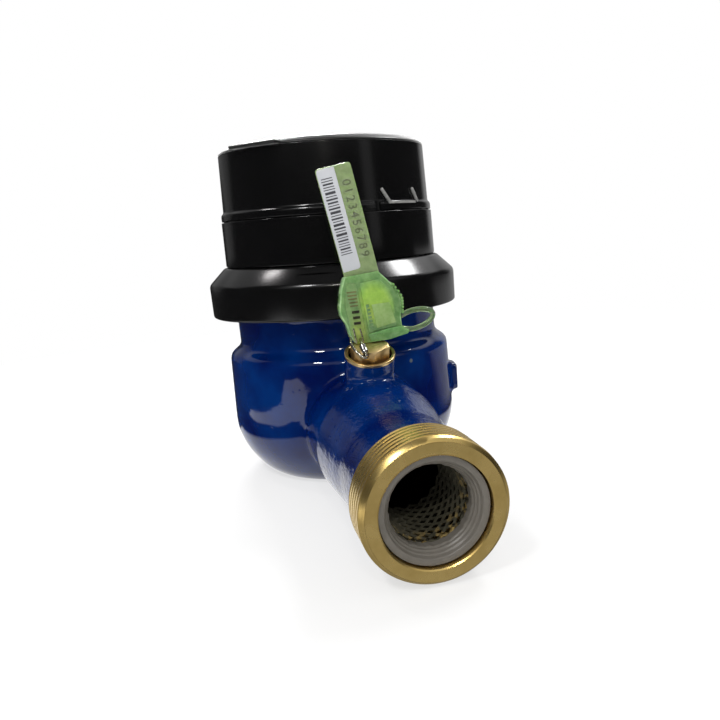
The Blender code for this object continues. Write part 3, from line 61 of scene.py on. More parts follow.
# Soft panels that only reflections see: bearings and their softness in degrees, heights and
# their softness, and brightness. FAR stands for no edge.
FAR = 999.0
PANELS = (
    (-62.0, 64.0, 8.0, 0.38, 0.80, 0.06, 0.50),
    (132.0, 158.0, 5.0, -FAR, 0.45, 0.10, 0.45),
    (-157.0, -134.0, 4.0, -FAR, 0.45, 0.10, 0.12),
    (-158.0, -118.0, 6.0, 0.42, 0.92, 0.05, 0.30),
    (92.0, 156.0, 8.0, 0.46, 0.92, 0.06, 0.85),
    (34.0, 46.0, 2.0, -FAR, 0.45, 0.10, 0.30),
    (156.0, FAR, 6.0, 0.12, 0.60, 0.05, 0.20),
    (-FAR, -157.0, 6.0, 0.12, 0.60, 0.05, 0.20),
)
ROOM_GLOW = 0.03
CEILING_GLOW = 0.10
DIFFUSE_GLOW = 0.66
FLOOR_HALF = 1.5
FLOOR_DROP = 0.0002

camera_data = bpy.data.cameras.new("camera")
camera_data.sensor_width = SENSOR
camera_data.lens = FOCAL_PIXELS / PHOTO_SIZE * SENSOR
camera_data.shift_x = (PHOTO_SIZE / 2 - CENTRE_PIXEL[0]) / PHOTO_SIZE
camera_data.shift_y = (CENTRE_PIXEL[1] - PHOTO_SIZE / 2) / PHOTO_SIZE
camera_data.clip_start = 0.01
camera = bpy.data.objects.new("camera", camera_data)
camera_turn = Matrix((CAMERA_RIGHT, -CAMERA_DOWN, -CAMERA_AHEAD)).transposed()
camera.matrix_world = Matrix.Translation(CAMERA_PLACE) @ camera_turn.to_4x4()
bpy.context.scene.collection.objects.link(camera)
bpy.context.scene.camera = camera
bpy.context.scene.view_settings.view_transform = "Standard"

for name, place, aim, size, power, colour in LAMPS:
    data = bpy.data.lights.new(name, "AREA")
    data.shape = "RECTANGLE"
    data.size, data.size_y = size
    data.energy = power
    data.color = colour
    lamp = bpy.data.objects.new(name, data)
    lamp.location = place
    lamp.rotation_euler = (Vector(aim) - Vector(place)).to_track_quat("-Z", "Y").to_euler()
    bpy.context.scene.collection.objects.link(lamp)


class Socket:
    """A shader socket; Python arithmetic on it adds the Math nodes."""

    def __init__(self, tree, out=None):
        self.tree = tree
        self.out = out

    def node(self, kind, settings=(), inputs=(), result=0):
        """Add a node, with its settings, then the values or links of its sockets."""
        made = self.tree.nodes.new("ShaderNode" + kind)
        for name, value in dict(settings).items():
            if name == "stops":
                ramp = made.color_ramp
                for position, grey in value[len(ramp.elements):]:
                    ramp.elements.new(position)
                for element, (position, grey) in zip(ramp.elements, value):
                    element.position = position
                    element.color = (grey, grey, grey, 1.0)
            else:
                setattr(made, name, value)
        for name, value in dict(inputs).items():
            if isinstance(value, Socket):
                self.tree.links.new(value.out, made.inputs[name])
            else:
                made.inputs[name].default_value = value
        return Socket(self.tree, made.outputs[result])

    def outputs(self):
        """Every output of this socket's node."""
        return [Socket(self.tree, out) for out in self.out.node.outputs]

    def split(self):
        """Its x, y and z."""
        return self.node("SeparateXYZ", (), {0: self}).outputs()

    def math(self, operation, *values):
        """A Math node on this socket and the values."""
        return self.node("Math", {"operation": operation}, dict(enumerate((self, *values))))

    def __add__(self, other):
        return self.math("ADD", other)

    __radd__ = __add__

    def __mul__(self, other):
        return self.math("MULTIPLY", other)

    __rmul__ = __mul__

    def __sub__(self, other):
        return self.math("SUBTRACT", other)

    def __rsub__(self, other):
        return self.math("MULTIPLY", -1.0) + other

    def __truediv__(self, other):
        return self.math("DIVIDE", other)

    def ramp(self, *stops):
        """Grey ramp with (position, grey) stops."""
        return self.node("ValToRGB", {"stops": stops}, {0: self})

    def above(self, edge, softness):
        """1 above an edge and 0 below it, with a soft step."""
        return self.node("MapRange", {"clamp": True}, {0: self - edge, 1: -softness, 2: softness})

    def between(self, low, high, softness):
        """1 between two edges and 0 outside them, with soft steps."""
        return self.above(low, softness) * (1.0 - self.above(high, softness))


def seen_by(start, *kinds):
    """1 for rays of the named kinds: Camera, Glossy or Transmission."""
    path = start.node("LightPath").out.node
    shares = [Socket(start.tree, path.outputs[f"Is {kind} Ray"]) for kind in kinds]
    total = shares[0]
    for share in shares[1:]:
        total = total.math("MAXIMUM", share)
    return total


def world_light():
    """White for the camera; reflections see a dim room with soft panels around the object."""
    world = bpy.data.worlds.new("studio")
    world.use_nodes = True
    bpy.context.scene.world = world
    tree = world.node_tree
    background = tree.nodes["Background"]
    direction = Socket(tree).node("TexCoord")
    x, y, z = direction.split()
    bearing = y.math("ARCTAN2", x) * math.degrees(1.0)
    reflected = ROOM_GLOW + z.above(0.97, 0.02) * CEILING_GLOW
    for start, end, blur, low, high, fade, glow in PANELS:
        reflected = reflected + bearing.between(start, end, blur) * z.between(low, high, fade) * glow
    shown = seen_by(direction, "Glossy", "Transmission")
    strength = DIFFUSE_GLOW * (1.0 - shown) + shown * reflected
    camera_share = seen_by(direction, "Camera")
    strength = strength * (1.0 - camera_share) + camera_share
    background.inputs["Color"].default_value = (*WHITE, 1.0)
    tree.links.new(strength.out, background.inputs["Strength"])


def new_look(name, roughness, metallic=0.0, constants=()):
    """A material, its Principled shader with its constants, and a first socket for its nodes."""
    look = bpy.data.materials.new(name)
    look.use_nodes = True
    shader = look.node_tree.nodes["Principled BSDF"]
    for socket, value in {"Roughness": roughness, "Metallic": metallic, **dict(constants)}.items():
        shader.inputs[socket].default_value = value
    return look, shader, Socket(look.node_tree)


def feed(shader, name, source):
    """Link a socket of the shader to a socket's output."""
    source.tree.links.new(source.out, shader.inputs[name])


def mix(start, factor, first, second):
    """Colour between two colours or sockets."""
    made = start.tree.nodes.new("ShaderNodeMix")
    made.data_type = "RGBA"
    for index, value in ((0, factor), (6, first), (7, second)):
        if isinstance(value, Socket):
            start.tree.links.new(value.out, made.inputs[index])
        else:
            made.inputs[index].default_value = (*value, 1.0) if index else value
    return Socket(start.tree, made.outputs[2])


def floor_shine(x, y):
    """How bright reflections see the floor: a patch under the body, dimmer ones ahead and to the
    right, and a bright slanted card at the left."""
    near = y.between(-0.080, 0.090, 0.006) * x.between(-0.062, 0.112, 0.005)
    ahead = y.between(-0.15, 0.15, 0.02) * x.above(0.125, 0.006) * (1.0 - x.above(0.42, 0.05))
    right = y.above(0.115, 0.02) * (1.0 - x.above(-0.02, 0.03))
    near_edge = (x - 0.092).math("MAXIMUM", 0.0) * 0.42 - 0.146
    far_edge = (x - 0.06).math("MAXIMUM", 0.0) * -1.1 + (x - 0.06).math("MINIMUM", 0.0) * -0.42 - 0.225
    far_edge = far_edge.math("MAXIMUM", -0.31)
    card = y.above(far_edge, 0.004) * (1.0 - (y - near_edge).above(0.0, 0.003))
    card = card * x.between(-0.065, 0.225, 0.004)
    return 0.03 + near + ahead * 0.30 * (1.0 - card) + right * 0.35 + card * 1.35


def floor_look():
    """Pale for the camera, fading to plain white away from the body."""
    look, _, start = new_look("pale_floor", 0.9)
    x, y, _ = start.node("TexCoord", result="Object").split()
    plain = 0.66 + (x * x + y * y).math("SQRT").above(0.32, 0.16) * 0.34
    white = start.node("BsdfDiffuse", (), {"Color": (0.85, 0.85, 0.85, 1.0)})
    glow = start.node("Emission", (), {"Color": (*WHITE, 1.0), "Strength": 1.0})
    reflection = start.node("Emission", (), {"Color": (*WHITE, 1.0), "Strength": floor_shine(x, y)})
    seen = start.node("MixShader", (), {0: seen_by(start, "Camera") * plain, 1: white, 2: glow})
    both = start.node("MixShader", (), {0: seen_by(start, "Glossy", "Transmission"), 1: seen, 2: reflection})
    start.tree.links.new(both.out, start.tree.nodes["Material Output"].inputs["Surface"])
    return look


world_light()
bm = bmesh.new()
bmesh.ops.create_grid(bm, x_segments=1, y_segments=1, size=FLOOR_HALF)
floor_data = bpy.data.meshes.new("floor")
bm.to_mesh(floor_data)
bm.free()
floor_data.materials.append(floor_look())
floor = bpy.data.objects.new("floor", floor_data)
floor.location.z = -FLOOR_DROP
bpy.context.scene.collection.objects.link(floor)


# Painted casting: a brass sand casting in gloss blue paint, machined bare inside; the bare inside is coloured
# near black as painted shade.
# Bowl, two necks, the regulating boss and the side lug are one piece with soft cast
# fillets; the boss is faced flat and the waterways are bored through.
def at(x, y, z):
    """A move."""
    return Matrix.Translation((x, y, z))


def about(axis, degrees):
    """A turn about an axis."""
    return Matrix.Rotation(math.radians(degrees), 4, axis)


PIPE_AXIS = 0.0215
PIPE_R = 0.019476
BORE_R = 0.0150
PIPE_END = 0.130
THREAD_START = 0.1124
BOWL_OUTLINE = (
    (0, 0), (0.0340, 0, 0.001), (0.0384, 0.0034, 0.003), (0.0438, 0.0112, 0.004), (0.0464, 0.0190, 0.004),
    (0.0464, 0.0250, 0.004), (0.0455, 0.0497, 0.0014), (0.0407, 0.0532, 0.0012), (0.0406, 0.0663),
    (0.0442, 0.0663), (0.0442, 0.0720), (0, 0.0720),
)
# Distance from the middle, half width and half height of a neck, and how far its middle is raised.
NECK_SECTIONS = (
    (0.031, 0.0226, 0.0014), (0.066, 0.0226, 0.0014), (0.092, 0.0196, 0.0), (0.1128, 0.0194, 0.0),
)
BOSS_R = 0.0087
BOSS_BORE_R = 0.0076
BOSS_PLACE = at(0.06013, 0.0, 0.05456) @ about("Y", 22.0)
BOSS_FROM_WORLD = BOSS_PLACE.inverted()
LUG_PLACE = about("Z", 80.0) @ at(0.0445, 0.0, 0.0317)
LUG_SIZE = (0.0094, 0.0100, 0.0118)
CAVITY = (
    (0, 0.0035), (0.028, 0.0035), (0.0347, 0.0125), (0.0347, 0.025), (0.0322, 0.025), (0.0322, 0.028),
    (0.041, 0.028), (0.041, 0.0476), (0.0365, 0.0516), (0.0365, 0.0700), (0.0386, 0.0700), (0.0386, 0.0740),
    (0, 0.0740),
)
BOSS_BORE = (
    (0, -0.0300), (0.0045, -0.0300), (0.0045, -0.0085), (BOSS_BORE_R, -0.0085), (BOSS_BORE_R, -0.0006),
    (0.0098, -0.0006), (0.0098, 0.0080), (0, 0.0080),
)
# Radius, start, end, steps and drop of each bore along the pipe.
PIPE_BORES = (
    (BORE_R, 0.066, 0.14, 64, 0.0), (0.010, 0.0322, 0.0665, 48, 0.007), (BORE_R, -0.14, -0.0405, 64, 0.0),
)
ACROSS = at(0.0, 0.0, PIPE_AXIS) @ about("Y", 90.0)
# Bare metal lies inside these, just past the machined walls; the bowl's are (top, radius).
BARE_PIPE_R = 0.0158
BARE_PIPE_FROM = 0.040
BARE_BOSS_R = 0.0078
BARE_BOSS_FOOT = -0.031
BARE_BOWL = ((0.0275, 0.037), (0.0485, 0.0433), (math.inf, 0.0390))
DISH_FOOT = 0.0035
DISH_TOP = 0.0125
DISH_R = 0.029
DISH_SLOPE = 0.75
CAST_VOXEL = 0.00095
CAST_ROUNDS = 6
PAINT_SPECK = (0.0410, 0.0197, 0.0463)


def object_noise(start, scale, detail=2.0, roughness=0.5, stretch=WHITE):
    """Noise on the object's own coordinates; the scale is in waves per metre."""
    place = start.node("TexCoord", result="Object")
    mapped = start.node("Mapping", (), {"Vector": place, "Scale": stretch})
    inputs = {"Vector": mapped, "Scale": scale, "Detail": detail, "Roughness": roughness}
    return start.node("TexNoise", (), inputs)


def bump(start, height, distance, strength, normal=None):
    """A bump of a height in metres, on top of another if given."""
    inputs = {"Height": height, "Distance": distance, "Strength": strength}
    if normal:
        inputs["Normal"] = normal
    return start.node("Bump", (), inputs)


def mottled(
    name, roughness, first, second, cloud, grain=None, swing=None, ramp=None, metallic=0.0, constants=()
):
    """A look that drifts from one colour to another with a cloud of noise. The grain is noise, height
    and strength of a bump; the swing is the least roughness and how far the cloud raises it."""
    look, shader, start = new_look(name, roughness, metallic, constants)
    clouds = object_noise(start, *cloud)
    feed(shader, "Base Color", mix(start, clouds.ramp(*ramp) if ramp else clouds, first, second))
    if swing:
        feed(shader, "Roughness", swing[0] + clouds * swing[1])
    if grain:
        feed(shader, "Normal", bump(start, object_noise(start, *grain[0]), *grain[1:]))
    return look


def bare_brass(name, roughness, colour=(0.78, 0.58, 0.25), dark=(0.42, 0.28, 0.10)):
    """Bare brass with dull patches."""
    patches = (180.0, 4.0, 0.6)
    ramp = ((0.35, 0.0), (0.75, 0.8))
    grain = ((2400.0, 2.0), 0.00002, 0.5)
    return mottled(name, roughness, colour, dark, patches, grain, ramp=ramp, metallic=1.0)


def blue_paint():
    """Gloss blue paint on a cast skin, with runs and grains that are rougher on the necks."""
    look, shader, start = new_look("blue_gloss_paint", 0.06)
    tint = object_noise(start, 55.0, 3.0).ramp((0.35, 0.0), (0.68, 1.0))
    place = start.node("TexCoord", result="Object")
    speck = start.node("VectorMath", {"operation": "DISTANCE"}, {0: place, 1: PAINT_SPECK}, "Value")
    painted = mix(start, tint, (0.0, 0.0045, 0.061), (0.0, 0.0205, 0.124))
    feed(shader, "Base Color", mix(start, 1.0 - speck.above(0.0007, 0.0003), painted, (0.10, 0.12, 0.13)))
    on_neck = place.split()[0].math("ABSOLUTE").above(0.062, 0.014)
    swell = object_noise(start, 95.0, 1.0)
    coarse = object_noise(start, 330.0, 2.0)
    runs = object_noise(start, 620.0, 3.0, 0.6, (0.55, 1.0, 1.0))
    pits = object_noise(start, 420.0, 1.0).ramp((0.70, 0.0), (0.80, 1.0))
    normal = bump(start, swell, 0.00045, 0.35)
    normal = bump(start, coarse * (0.05 + on_neck * 0.95), 0.00022, 0.6, normal)
    normal = bump(start, runs * (0.012 + on_neck * 0.99) + pits * (0.1 + on_neck), 0.00026, 0.8, normal)
    feed(shader, "Normal", normal)
    feed(shader, "Roughness", 0.045 + on_neck * 0.06)
    return look


def rounded(corners, steps=4):
    """Outline points from corners, each (x, y) or (x, y, reach of its rounding)."""
    points = []
    for index, corner in enumerate(corners):
        here = Vector(corner[:2])
        reach = corner[2] if len(corner) > 2 else 0
        if not reach:
            points.append(here)
            continue
        before = Vector(corners[index - 1][:2]) - here
        after = Vector(corners[(index + 1) % len(corners)][:2]) - here
        start = here + before.normalized() * min(reach, 0.49 * before.length)
        end = here + after.normalized() * min(reach, 0.49 * after.length)
        for step in range(steps + 1):
            share = step / steps
            points.append(start.lerp(here, share).lerp(here.lerp(end, share), share))
    return points


def turned(corners, steps, rounding=4):
    """A solid from an outline of (radius, height, reach) corners, spun a full turn about Z."""
    bm = bmesh.new()
    verts = [bm.verts.new((point[0], 0.0, point[1])) for point in rounded(corners, rounding)]
    edges = [bm.edges.new(pair) for pair in zip(verts, verts[1:] + verts[:1])]
    spin = {"cent": (0, 0, 0), "axis": (0, 0, 1), "angle": math.tau, "steps": steps, "use_merge": True}
    bmesh.ops.spin(bm, geom=verts + edges, **spin)
    bmesh.ops.remove_doubles(bm, verts=bm.verts[:], dist=1e-6)
    return bm


def rod(radius, low, high, steps=24, reach=0, rounding=4):
    """A turned rod between two heights, with rounded rims if it has a reach."""
    return turned(((0, low), (radius, low, reach), (radius, high, reach), (0, high)), steps, rounding)


def moved(bm, place):
    """The same shape at another place."""
    bm.transform(place)
    return bm


def quads(bm, near, far):
    """Faces between two closed rings of corners."""
    for step in range(len(near)):
        after = (step + 1) % len(near)
        bm.faces.new((near[step], near[after], far[after], far[step]))


def skin(bm, loops):
    """Join rings of points into a tube with end faces."""
    rings = [[bm.verts.new(point) for point in loop] for loop in loops]
    for near, far in zip(rings, rings[1:]):
        quads(bm, near, far)
    bm.faces.new(rings[0])
    bm.faces.new(rings[-1])


def linked(name, data):
    """A new object in the scene."""
    made = bpy.data.objects.new(name, data)
    bpy.context.scene.collection.objects.link(made)
    return made


def finished(name, bm, looks=(), sharp_from=35.0):
    """A smooth-shaded object from a shape, at the origin."""
    bmesh.ops.recalc_face_normals(bm, faces=bm.faces[:])
    data = bpy.data.meshes.new(name)
    bm.to_mesh(data)
    bm.free()
    data.shade_smooth()
    data.set_sharp_from_angle(angle=math.radians(sharp_from))
    for look in looks:
        data.materials.append(look)
    return linked(name, data)


def cut(solid, shape, operation="DIFFERENCE"):
    """Cut a shape out of a solid, or combine them another way."""
    change = solid.modifiers.new("cut", "BOOLEAN")
    change.operation = operation
    change.solver = "EXACT"
    change.object = finished("cutter", shape)


def carved(solid):
    """The shape of a solid with its modifiers; the solid and its cutters go."""
    graph = bpy.context.evaluated_depsgraph_get()
    bm = bmesh.new()
    bm.from_mesh(bpy.data.meshes.new_from_object(solid.evaluated_get(graph)))
    cutters = [change.object for change in solid.modifiers if change.type == "BOOLEAN"]
    for spent in (solid, *cutters):
        bpy.data.objects.remove(spent, do_unlink=True)
    return bm


def dress(piece, node, body):
    """A piece takes a node's place and rides its body."""
    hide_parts(node)
    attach(piece, body)


def circle(x, radius, centre, steps=64):
    """Points of a circle across the pipe's axis."""
    turns = [math.tau * step / steps for step in range(steps)]
    return [(x, radius * math.cos(turn), centre + radius * math.sin(turn)) for turn in turns]


def casting_solid():
    """Bowl, necks, boss and lug as overlapping closed solids, melted into one soft skin."""
    bm = turned(BOWL_OUTLINE, 128)
    for side in (1.0, -1.0):
        skin(bm, [circle(side * x, radius, PIPE_AXIS + rise) for x, radius, rise in NECK_SECTIONS])
    place = BOSS_PLACE @ at(0.0, 0.0, -0.012)
    sizes = {"radius1": BOSS_R + 0.0004, "radius2": BOSS_R, "depth": 0.028, "segments": 64}
    bmesh.ops.create_cone(bm, cap_ends=True, matrix=place, **sizes)
    lug = bmesh.ops.create_cube(bm, size=1.0)["verts"]
    bmesh.ops.transform(bm, matrix=LUG_PLACE @ Matrix.Diagonal((*LUG_SIZE, 1.0)), verts=lug)
    made = finished("casting_solid", bm)
    remesh = made.modifiers.new("voxels", "REMESH")
    remesh.mode = "VOXEL"
    remesh.voxel_size = CAST_VOXEL
    soften = made.modifiers.new("soften", "SMOOTH")
    soften.factor = 0.5
    soften.iterations = CAST_ROUNDS
    return made


def make_casting():
    """The casting, cut with its chamber space, bores and the faced boss."""
    solid = casting_solid()
    cut(solid, turned(CAVITY, 72))
    for radius, start, end, steps, drop in PIPE_BORES:
        cut(solid, moved(rod(radius, start, end, steps), at(0.0, 0.0, -drop) @ ACROSS))
    cut(solid, moved(turned(BOSS_BORE, 64), BOSS_PLACE))
    # The bare inside is coloured near black: painted shade for the dark bores and chamber.
    shaded_inside = bare_brass("bare_casting_painted_shade", 0.6, (0.035, 0.025, 0.012), (0.012, 0.008, 0.004))
    made = finished("casting", carved(solid), (blue_paint(), shaded_inside), 40.0)
    for face in made.data.polygons:
        face.material_index = int(is_bare(face.center))
    return made


def is_bare(point):
    """Whether a point lies on the machined inside: in the pipes, the bowl or the boss."""
    in_pipe = abs(point.x) > BARE_PIPE_FROM and math.hypot(point.y, point.z - PIPE_AXIS) < BARE_PIPE_R
    wall = next(radius for top, radius in BARE_BOWL if point.z < top)
    if point.z < DISH_TOP:
        wall = DISH_R + DISH_SLOPE * (point.z - DISH_FOOT)
    in_bowl = point.z > DISH_FOOT - 0.0005 and math.hypot(point.x, point.y) < wall
    across, along, height = BOSS_FROM_WORLD @ point
    return in_pipe or in_bowl or (math.hypot(across, along) < BARE_BOSS_R and height > BARE_BOSS_FOOT)


dress(make_casting(), "meter_body", "meter")


# Threaded ends: the casting's own brass, left bare and cut with a parallel pipe thread.
# The thread is a true helix that runs out at the paint, with a chamfer, a face turned
# flat, and the counterbore that holds the strainer or a gasket.
THREAD_PITCH = 0.002309
THREAD_DEPTH = 0.00142
THREAD_CREST_R = 0.02130
THREAD_ROOT_R = PIPE_R - 0.0002
THREAD_PROFILE = ((0.0, 1.0), (0.24, 0.0), (0.32, 0.0), (0.56, 1.0))
FACE_R = 0.01993
FACE_BORE_R = 0.0162
FACE_SHOULDER = PIPE_END - 0.0095
RUN_OUT_SLOPE = 0.75
THREAD_TURN_STEPS = 144
END_BORE = (
    (PIPE_END, FACE_BORE_R + 0.0004), (PIPE_END - 0.0003, FACE_BORE_R), (FACE_SHOULDER, FACE_BORE_R),
    (FACE_SHOULDER, BORE_R), (FACE_SHOULDER - 0.0003, BORE_R - 0.0001), (THREAD_START, BORE_R - 0.0001),
)


def thread_stations(turn):
    """Stations (distance, radius) along the thread at a turn: its corners, which follow the helix."""
    stations = []
    for index in range(-1, int((PIPE_END - THREAD_START) / THREAD_PITCH) + 2):
        for share, height in THREAD_PROFILE:
            x = THREAD_START + (index + turn / math.tau + share) * THREAD_PITCH
            x = min(max(x, THREAD_START), PIPE_END)
            run_out = THREAD_ROOT_R + (x - THREAD_START) * RUN_OUT_SLOPE
            radius = THREAD_CREST_R - THREAD_DEPTH * (1.0 - height)
            stations.append((x, min(radius, run_out, FACE_R + PIPE_END - x)))
    return stations


def threaded_end(name, side, look):
    """One threaded pipe end, with its run-out, chamfer, face and counterbore."""
    bm = bmesh.new()
    columns = []
    for step in range(THREAD_TURN_STEPS + 1):
        turn = math.tau * step / THREAD_TURN_STEPS
        column = []
        for x, radius in (*thread_stations(turn), *END_BORE):
            place = (side * x, radius * math.cos(turn), PIPE_AXIS + radius * math.sin(turn))
            column.append(bm.verts.new(place))
        columns.append(column)
    for near, far in zip(columns, columns[1:]):
        quads(bm, near, far)
    bmesh.ops.remove_doubles(bm, verts=bm.verts[:], dist=2e-6)
    bmesh.ops.dissolve_degenerate(bm, edges=bm.edges[:], dist=1e-6)
    return finished(name, bm, (look,), 30.0)


def turned_brass():
    """Machined brass: fine turned rings about the pipe's axis, and thread grooves darkened as painted shade.
    """
    look, shader, start = new_look("machined_brass", 0.24, 1.0)
    place = start.node("TexCoord", result="Object")
    centred = start.node("VectorMath", {"operation": "SUBTRACT"}, {0: place, 1: (0.0, 0.0, PIPE_AXIS)})
    flat = start.node("VectorMath", {"operation": "MULTIPLY"}, {0: centred, 1: (0.0, 1.0, 1.0)})
    out = start.node("VectorMath", {"operation": "LENGTH"}, {0: flat}, "Value")
    rings = start.node("TexNoise", {"noise_dimensions": "1D"}, {"W": out, "Scale": 5200.0, "Detail": 3.0})
    patches = object_noise(start, 120.0, 4.0, 0.6)
    clean = mix(start, patches.ramp((0.40, 0.0), (0.78, 0.75)), (0.92, 0.67, 0.245), (0.66, 0.45, 0.13))
    # Painted shade: the thread's roots are darkened, away from the face.
    groove_shade = (1.0 - out.above(THREAD_CREST_R - 0.00090, 0.0003)) * out.above(PIPE_R - 0.0004, 0.0001)
    on_face = place.split()[0].math("ABSOLUTE").above(PIPE_END - 0.0007, 0.0003)
    feed(shader, "Base Color", mix(start, groove_shade * (1.0 - on_face) * 0.5, clean, (0.16, 0.10, 0.03)))
    feed(shader, "Roughness", 0.20 + patches * 0.16)
    ringed = 1.0 - (1.0 - on_face) * out.above(FACE_R, 0.0002)
    feed(shader, "Normal", bump(start, rings * ringed, 0.00003, 0.5))
    return look


machined = turned_brass()
for side, name in ((1.0, "inlet_thread"), (-1.0, "outlet_thread")):
    dress(threaded_end(name, side, machined), "meter_body", "meter")


# Boss rim: the top of the casting's regulating boss, faced to bare brass by a cutter.
# It is the same metal as the boss, a narrow bright ring with the paint's edge below it.
RIM_INNER = BOSS_BORE_R - 0.0001
RIM_OUTER = BOSS_R + 0.0001
RIM_OUTLINE = ((RIM_INNER, -0.0022), (RIM_OUTER, -0.0010), (RIM_OUTER, 0, 0.0003), (RIM_INNER, 0, 0.0004))

rim_brass = bare_brass("faced_rim", 0.3, (0.90, 0.66, 0.32), (0.62, 0.42, 0.18))
boss_rim = finished("boss_rim", moved(turned(RIM_OUTLINE, 72), BOSS_PLACE), (rim_brass,))
dress(boss_rim, "meter_body", "meter")


# Strainer collar: grey moulded ring pressed into the inlet's counterbore. Its mouth
# steps inwards in shallow rings, and its inner edge is left rough where the mesh joins.
COLLAR_FACE = 0.12078
COLLAR_EDGE_R = 0.0123
COLLAR_RAGGED = 0.00035
COLLAR_OUTLINE = (
    (0.0118, 0.0002), (0.0159, 0.0002), (0.0159, 0.0074, 0.0004), (0.0140, 0.0069, 0.0003),
    (0.0136, 0.0057, 0.0003), (0.0132, 0.0054, 0.0002), (0.0129, 0.0046, 0.0002), (0.0125, 0.0042, 0.0002),
    (0.0122, 0.0034, 0.0002), (0.0118, 0.0029, 0.0003),
)


def make_collar():
    """The collar, with a ragged inner edge."""
    bm = turned(COLLAR_OUTLINE, 120, 3)
    for vert in bm.verts:
        turn = math.atan2(vert.co.y, vert.co.x)
        reach = math.hypot(vert.co.x, vert.co.y)
        if reach < COLLAR_EDGE_R:
            wave = 0.5 + 0.25 * math.sin(18.0 * turn) + 0.25 * math.sin(31.0 * turn + 1.3)
            vert.co.xy *= (reach + COLLAR_RAGGED * wave) / reach
    soft = {"Subsurface Weight": 0.25, "Subsurface Radius": (0.002, 0.002, 0.002)}
    colours = ((0.118, 0.108, 0.093), (0.180, 0.166, 0.145))
    grain = ((900.0, 2.0), 0.00004, 0.6)
    look = mottled("collar_plastic", 0.38, *colours, (300.0, 3.0), grain, constants=soft)
    return finished("collar", moved(bm, at(COLLAR_FACE, 0.0, 0.0) @ ACROSS), (look,))


dress(make_collar(), "strainer_collar", "meter")


# Strainer basket: dark moulded net with diamond openings, closed at its far end.
# It is one piece with fine crossing ribs, round in section at the mouth.
BASKET_R = 0.0127
BASKET_MOUTH = 0.1200
BASKET_LENGTH = 0.0278
BASKET_COLUMNS = 18
BASKET_ROWS = 14
BASKET_RIB = 0.00130


def make_basket():
    """Net of diamonds on a tube, each of its edges grown into a rib."""
    bm = bmesh.new()
    rows = []
    for row in range(BASKET_ROWS + 1):
        x = BASKET_MOUTH - BASKET_LENGTH * row / BASKET_ROWS
        ring = []
        for column in range(BASKET_COLUMNS):
            turn = math.tau * (column + 0.5 * (row % 2)) / BASKET_COLUMNS
            ring.append(bm.verts.new((x, BASKET_R * math.cos(turn), PIPE_AXIS + BASKET_R * math.sin(turn))))
        rows.append(ring)
    for row in range(BASKET_ROWS - 1):
        for column in range(BASKET_COLUMNS):
            beside = column + row % 2
            left = rows[row + 1][(beside - 1) % BASKET_COLUMNS]
            right = rows[row + 1][beside % BASKET_COLUMNS]
            bm.faces.new((rows[row][column], right, rows[row + 2][column], left))
    shape = finished("basket_net", bm)
    net = shape.modifiers.new("ribs", "WIREFRAME")
    net.thickness = BASKET_RIB
    net.use_even_offset = False
    return finished("basket", carved(shape), (mesh_plastic(),), 30.0)


def mesh_plastic():
    """Dark olive plastic with a wet sheen and painted brass glints near the mouth."""
    look, shader, start = new_look("mesh_plastic", 0.22)
    base = mix(start, object_noise(start, 500.0, 3.0), (0.035, 0.035, 0.026), (0.15, 0.14, 0.10))
    # Brass-coloured patches near the mouth are painted reflections of the brass around the basket.
    painted_glint_zone = start.node("TexCoord", result="Object").split()[0].above(0.1145, 0.003)
    patches = object_noise(start, 330.0, 1.0).ramp((0.50, 0.0), (0.62, 1.0))
    feed(shader, "Base Color", mix(start, painted_glint_zone * patches * 0.8, base, (0.50, 0.36, 0.13)))
    return look


dress(make_basket(), "strainer_basket", "meter")


# Regulating plug: a brass hexagon screwed into the boss, chamfered on top and drilled
# across for the seal wire. Its stem reaches down towards the waterway.
PLUG_HEAD_R = 0.0070
PLUG_CHAMFER_R = 0.0074
PLUG_STEM_R = 0.0042
PLUG_FOOT = -0.0150
PLUG_TOP = 0.00375
UNDER_SEAL = ((0.045, -0.012, 0.05765), (0.075, 0.012, 0.06565))
PLUG_PROFILE = (
    (0, PLUG_FOOT), (PLUG_STEM_R, PLUG_FOOT, 0.0006), (PLUG_STEM_R, -0.0070), (PLUG_CHAMFER_R, -0.0070),
    (PLUG_CHAMFER_R, PLUG_TOP - 0.0007), (0.0060, PLUG_TOP - 0.00005), (0, PLUG_TOP - 0.00005),
)
PLUG_DRILL_R = 0.0009
PLUG_DRILL = at(0.0666, -0.0026, 0.0545) @ about("Y", 101.0)
PLUG_RING = (
    (0.0061, -0.0079, 0.0004), (0.0073, -0.0079, 0.0004),
    (0.0073, -0.0071, 0.0004), (0.0061, -0.0071, 0.0004),
)


def box_between(low, high, round_reach=0.0):
    """A box between two corners, with rounded edges if it has a reach."""
    bm = bmesh.new()
    bmesh.ops.create_cube(bm, size=1.0)
    size = Vector(high) - Vector(low)
    middle = (Vector(high) + Vector(low)) / 2
    bm.transform(Matrix.Translation(middle) @ Matrix.Diagonal((*size, 1.0)))
    if round_reach:
        bevelled(bm, bm.edges[:], round_reach)
    return bm


def bevelled(bm, edges, reach, segments=3):
    """Round edges of a shape."""
    sizes = {"offset": reach, "segments": segments, "profile": 0.5}
    bmesh.ops.bevel(bm, geom=edges, affect="EDGES", material=-1, **sizes)


